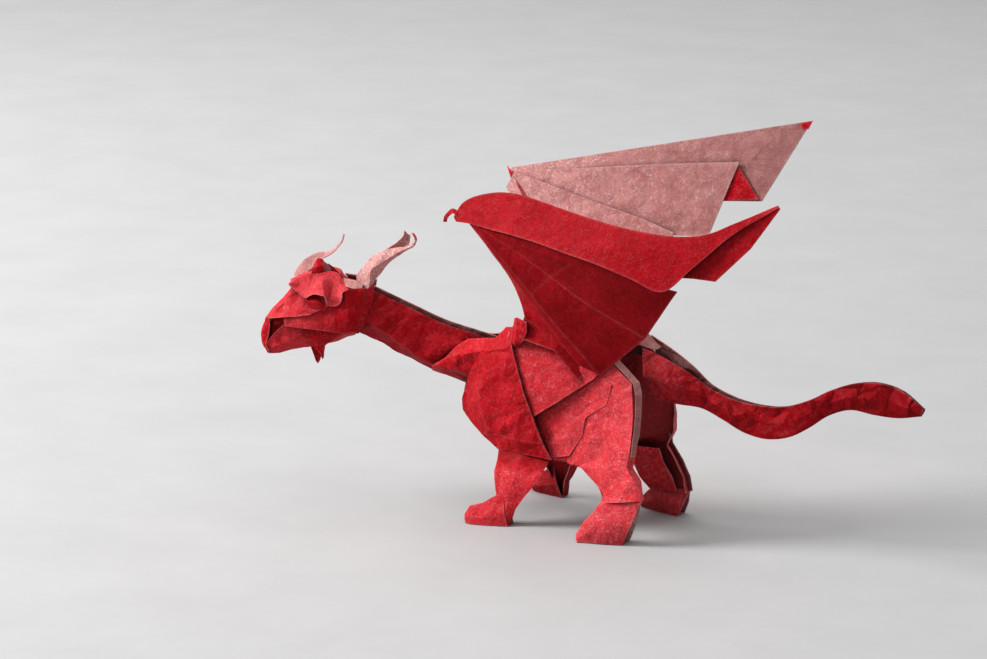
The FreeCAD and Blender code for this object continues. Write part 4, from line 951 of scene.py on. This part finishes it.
# painted light: the fore foot is a little lighter
foreFoot = {"step": 0.7, "paintedLight": (1.1, 1.1), "worn": [("column", 2, 0, 3, 0.8)], "sections": [
    ((-2, 98, 80), (-20, 90, 47)), ((-42, 108, 100), (-57, 99, 27)),
    ((-64, 114, 90), (-75, 106, 22)), ((-74, 118, 50), (-82, 113, 11)),
]}
backUp = ("along", Vector((1, 0, 1)))
for side, sideName in ((left, "Left"), (right, "Right")):
    outSide = nearSide if side == left else farSide
    quarterRows = ([oneSide(torsoAt, points, side) for points in flankFlap["flank"]]
                   + [oneSide(hindAt, points, side) for points in flankFlap["shin" + sideName]])
    foldSheet("hindQuarter" + sideName, quarterRows, flankFlap, outSide)
    foldSide("hem" + sideName, torsoAt, hemFlap, side, underSide)
    foldSide("flankPatch" + sideName, torsoAt, patchFlap, side, outSide)
    foldSide("haunchLip" + sideName, torsoAt, lipFlap, side, backUp)
    if side == left:
        foldSide("lipEnd", torsoAt, lipEnd, side, backUp)
    else:
        foldSide("shinLip", hindAt, shinLip, side, ("along", Vector((1, -1, 0))))
    foldFoot("hindFoot" + sideName, hindAt, side, hindFoot, hindFoot[sideName])
    foldSide("foreShin" + sideName, foreAt, shinFlap, side, outSide)
    foldFoot("foreFoot" + sideName, foreAt, side, foreFoot, foreFoot["sections"])
print("body and legs folded")


# left wing: the band along the top, the fan below it, the point behind, the hook and the root wrap
# painted shade: the band is darker
leftBand = {"step": 1.1, "crush": 0.15, "paintedLight": (0.83, 0.8), "crumple": 0.3, "curved": "across",
            "worn": [("row", 1, 0, 8, 0.5)], "folds": [
    [(-17, 86, 93), (-15, 80, 103), (-6, 70, 114), (2, 68, 115.5), (10, 68, 112),
     (21, 70, 106), (32, 73, 101), (43, 76, 98), (54, 77, 97.5), (63, 76, 101), (72, 73, 112), (85, 66, 129)],
    [(-16, 90, 90), (-11, 95, 90), (-5, 98, 88), (2, 102, 86), (10, 105, 83),
     (21, 108, 77), (32, 110, 71), (42, 106, 63), (51, 98, 55), (60, 88, 75), (72, 78, 104), (85, 69, 127)],
]}
# painted shade: the fan is darker, and each of its panels is painted a different level of light and shade
leftFan = {"step": 1.05, "crush": 0.3, "paintedLight": (0.73, 0.73), "paintedLightRows": (1.3, 1.1, 0.85, 1.12, 0.88, 0.78),
           "crumple": 0.3, "curved": "across",
           "worn": [("row", 1, 0, 5, 0.7), ("row", 2, 0, 5, 0.9), ("row", 3, 0, 5, 0.95), ("column", 2, 2, 4, 0.6)],
           "folds": [
    [(-12, 86, 90), (-5, 72, 66), (-1.5, 42, 45), (0, 16, 25), (0.5, -4, 6), (1, -16, -6)],
    [(-10.5, 92, 90), (-4, 80, 67), (3.5, 58, 39), (9, 36, 16), (15, 12, -9), (20, -2, -25)],
    [(-9.5, 94, 89.5), (-1, 84, 64), (7, 67, 38), (13, 47, 16), (20, 23, -8), (25, 0, -27)],
    [(-8.5, 95, 89), (4, 90, 72), (14, 73, 54), (23, 56, 37), (32, 32, 22), (40, 6, 8)],
    [(-8, 94, 88.5), (10, 99, 76), (22, 98, 68), (34, 90, 58), (44, 70, 44), (52, 60, 47)],
    [(-6, 93, 89), (15, 101, 80), (29, 103, 73), (40, 98, 65), (50, 90, 58), (55, 80, 55)],
]}
# painted shade: the point is darker
leftPoint = {"step": 1.0, "paintedLight": (0.8, 0.8), "crumple": 0.3, "folds": [
    [(45, 76, 80), (56, 74, 90), (66, 70, 103), (75, 68, 114), (85.2, 67.5, 128.5)],
    [(53, 84, 66), (60, 76, 66.5), (66.5, 73, 66), (77, 70, 94), (85.7, 67.5, 126.5)],
]}
leftHook = {"step": 0.4, "curved": "across", "folds": [
    [(-15.5, 84, 98), (-17.4, 87, 100), (-19, 89, 96.5), (-20, 89, 93), (-20.4, 89, 88.5)],
    [(-15, 90, 92), (-17.2, 91, 96.5), (-18.3, 91, 94), (-19, 90, 91.5), (-19.4, 85, 88.5)],
]}
leftWrap = {"step": 0.6, "crumple": 0.5, "folds": [
    [(-4, -10, 9), (-1.5, 12, 12), (2, 20, 10)],
    [(-4.5, -8, 0), (-1.5, 16, 3), (2.2, 20, 2)],
    [(-5, -10, -8), (-2.5, 7, -5), (0, 8, -7)],
    [(-5.5, -14, -15), (-4, -7, -14), (-2.8, -8, -13)],
]}
# painted shade: the underside flap is darker
leftUnder = {"step": 0.9, "paintedLight": (0.8, 0.8), "crumple": 0.3, "worn": [("row", 1, 0, 3, 0.8)], "folds": [
    [(0, 2, 12), (6, 10, 7), (13, 10, -2), (20, -6, -22)],
    [(0, 10, -5), (4, 13, -7), (11, 17, -10), (19, 11, -33)],
]}
for name, flap in (("leftBand", leftBand), ("leftFan", leftFan), ("leftPoint", leftPoint),
                   ("leftHook", leftHook), ("leftWrap", leftWrap), ("leftUnder", leftUnder)):
    foldSide(name, leftWingAt, flap, left, nearSide)


# right wing: three knife pleats above the membrane that runs to the flank; its pink side faces in, and each pleat is
# painted lighter at the wrist and darker toward its tip
upperPleat = {"step": 1.15, "crush": 0.35, "paintedLight": (1.25, 0.75), "crumple": 0.4, "folds": [
    [(-20, 78, 125), (5, 80, 125), (30, 82, 125), (55, 82, 125), (78, 80, 125)],
    [(-19, 72, 120), (5, 70, 110), (27, 70, 95), (50, 68, 73), (63, 70, 68)],
]}
middlePleat = {"step": 1.15, "crush": 0.35, "paintedLight": (1.2, 0.95), "crumple": 0.4, "folds": [
    [(-19.5, 70, 123), (5, 62, 116), (30, 60, 110), (56, 58, 102)],
    [(-18, 62, 116), (5, 54, 80), (28, 50, 55), (46.5, 50, 46)],
]}
lowerPleat = {"step": 1.15, "crush": 0.35, "paintedLight": (1.2, 1.0), "crumple": 0.4, "folds": [
    [(-18, 56, 121.5), (-9, 48, 111), (11, 42, 86), (26, 36, 68), (36, 30, 54)],
    [(-20, 64, 114), (-5, 50, 92), (10, 36, 66), (22, 24, 36), (29, -12, -10)],
    [(-20.5, 62, 112), (-8, 48, 80), (4, 32, 46), (15, 14, 6), (22, -12, -36)],
    [(-21, 60, 110), (-13, 46, 78), (-5, 30, 46), (0, 10, 18), (2, -16, -22)],
]}
turnedPleat = {"step": 1.0, "crumple": 0.3, "folds": [
    [(49, 63, 99), (55, 62, 101), (62.2, 62, 70)],
    [(45, 60, 80), (48, 57, 76), (51, 60, 73)],
]}
tipFold = {"step": 0.5, "crumple": 0.3, "folds": [
    [(74.2, 80, 124.5), (78.2, 80, 125)],
    [(75.2, 76, 120), (77, 77, 119)],
]}
wristFold = {"step": 0.6, "folds": [
    [(-21.5, 86, 127), (-20, 80, 116), (-16, 66, 100)],
    [(-19, 56, 122), (-17, 50, 112), (-13, 40, 96)],
]}
for name, flap in (("upperPleat", upperPleat), ("middlePleat", middlePleat), ("lowerPleat", lowerPleat)):
    foldSide(name, rightWingAt, flap, right, farSide)
for name, flap in (("turnedPleat", turnedPleat), ("tipFold", tipFold), ("wristFold", wristFold)):
    foldSide(name, rightWingAt, flap, right, nearSide)
print("wings folded")


# one sheet of paper: the flaps are joined in one piece
bpy.ops.object.select_all(action='DESELECT')
for sheet in sheets:
    sheet.select_set(True)
bpy.context.view_layer.objects.active = sheets[0]
bpy.ops.object.join()
foldedPaper = bpy.context.object
foldedPaper.name = "foldedPaper"
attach(foldedPaper, "root")
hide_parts("folded_dragon")
print("paper joined,", len(foldedPaper.data.polygons), "faces")


# floor: painted light falloff makes it darker to the right and lighter further away (direction, start, end, two
# levels)
floorLook = {
    "size": 12, "middle": (0, 2.0, 0), "color": (0.605, 0.60, 0.602, 1), "cloudColor": (0.50, 0.496, 0.498, 1),
    "bounceColor": (0.30, 0.28, 0.275, 1), "cloudScale": 34.0, "cloudDetail": 8.0, "cloudRoughness": 0.65,
    "roughness": 0.9, "skyStart": 1.1, "skyEnd": 2.6,
    "paintedFalloff": [((0.875, 0.485, 0), -1.19, -0.77, 0.955, 0.86), ((-0.485, 0.875, 0), -1.65, -1.15, 0.96, 1.06)],
}
bpy.ops.object.select_all(action='DESELECT')
bpy.ops.mesh.primitive_plane_add(size=floorLook["size"], location=floorLook["middle"])
floor = bpy.context.object
floor.name = "paleFloor"
floorMaterial = bpy.data.materials.new("paleBackdrop")
floorMaterial.use_nodes = True
floorTree = floorMaterial.node_tree
floorShader = floorTree.nodes["Principled BSDF"]
floorPlace = newNode(floorTree, "ShaderNodeTexCoord").outputs["Object"]
floorClouds = newNode(floorTree, "ShaderNodeTexNoise", {},
                      {"Vector": floorPlace, "Scale": floorLook["cloudScale"], "Detail": floorLook["cloudDetail"],
                       "Roughness": floorLook["cloudRoughness"]}).outputs["Fac"]
floorColor = blendColor(floorTree, floorClouds, floorLook["color"], floorLook["cloudColor"])
# painted light falloff: the floor's color is multiplied by each gradient
for direction, start, end, low, high in floorLook["paintedFalloff"]:
    place = vectorNode(floorTree, 'DOT_PRODUCT', floorPlace, direction)
    floorColor = multiplyColor(floorTree, floorColor, spread(floorTree, place, low, high, start, end))
seenDirectly = newNode(floorTree, "ShaderNodeLightPath").outputs["Is Camera Ray"]
floorColor = blendColor(floorTree, seenDirectly, floorLook["bounceColor"], floorColor)
floorTree.links.new(floorColor, floorShader.inputs["Base Color"])
floorShader.inputs["Roughness"].default_value = floorLook["roughness"]

# far from the dragon the floor turns into the sky
fromDragon = vectorNode(floorTree, 'LENGTH', vectorNode(floorTree, 'ADD', floorPlace, floorLook["middle"]))
farFloor = mathNode(floorTree, 'SUBTRACT', 1.0,
                    rampDown(floorTree, fromDragon, floorLook["skyStart"], floorLook["skyEnd"]))
farFloor = times(floorTree, times(floorTree, farFloor, seenDirectly), studio["skyLevel"])
floorShader.inputs["Emission Color"].default_value = studio["skyColor"]
floorTree.links.new(farFloor, floorShader.inputs["Emission Strength"])
floor.data.materials.append(floorMaterial)
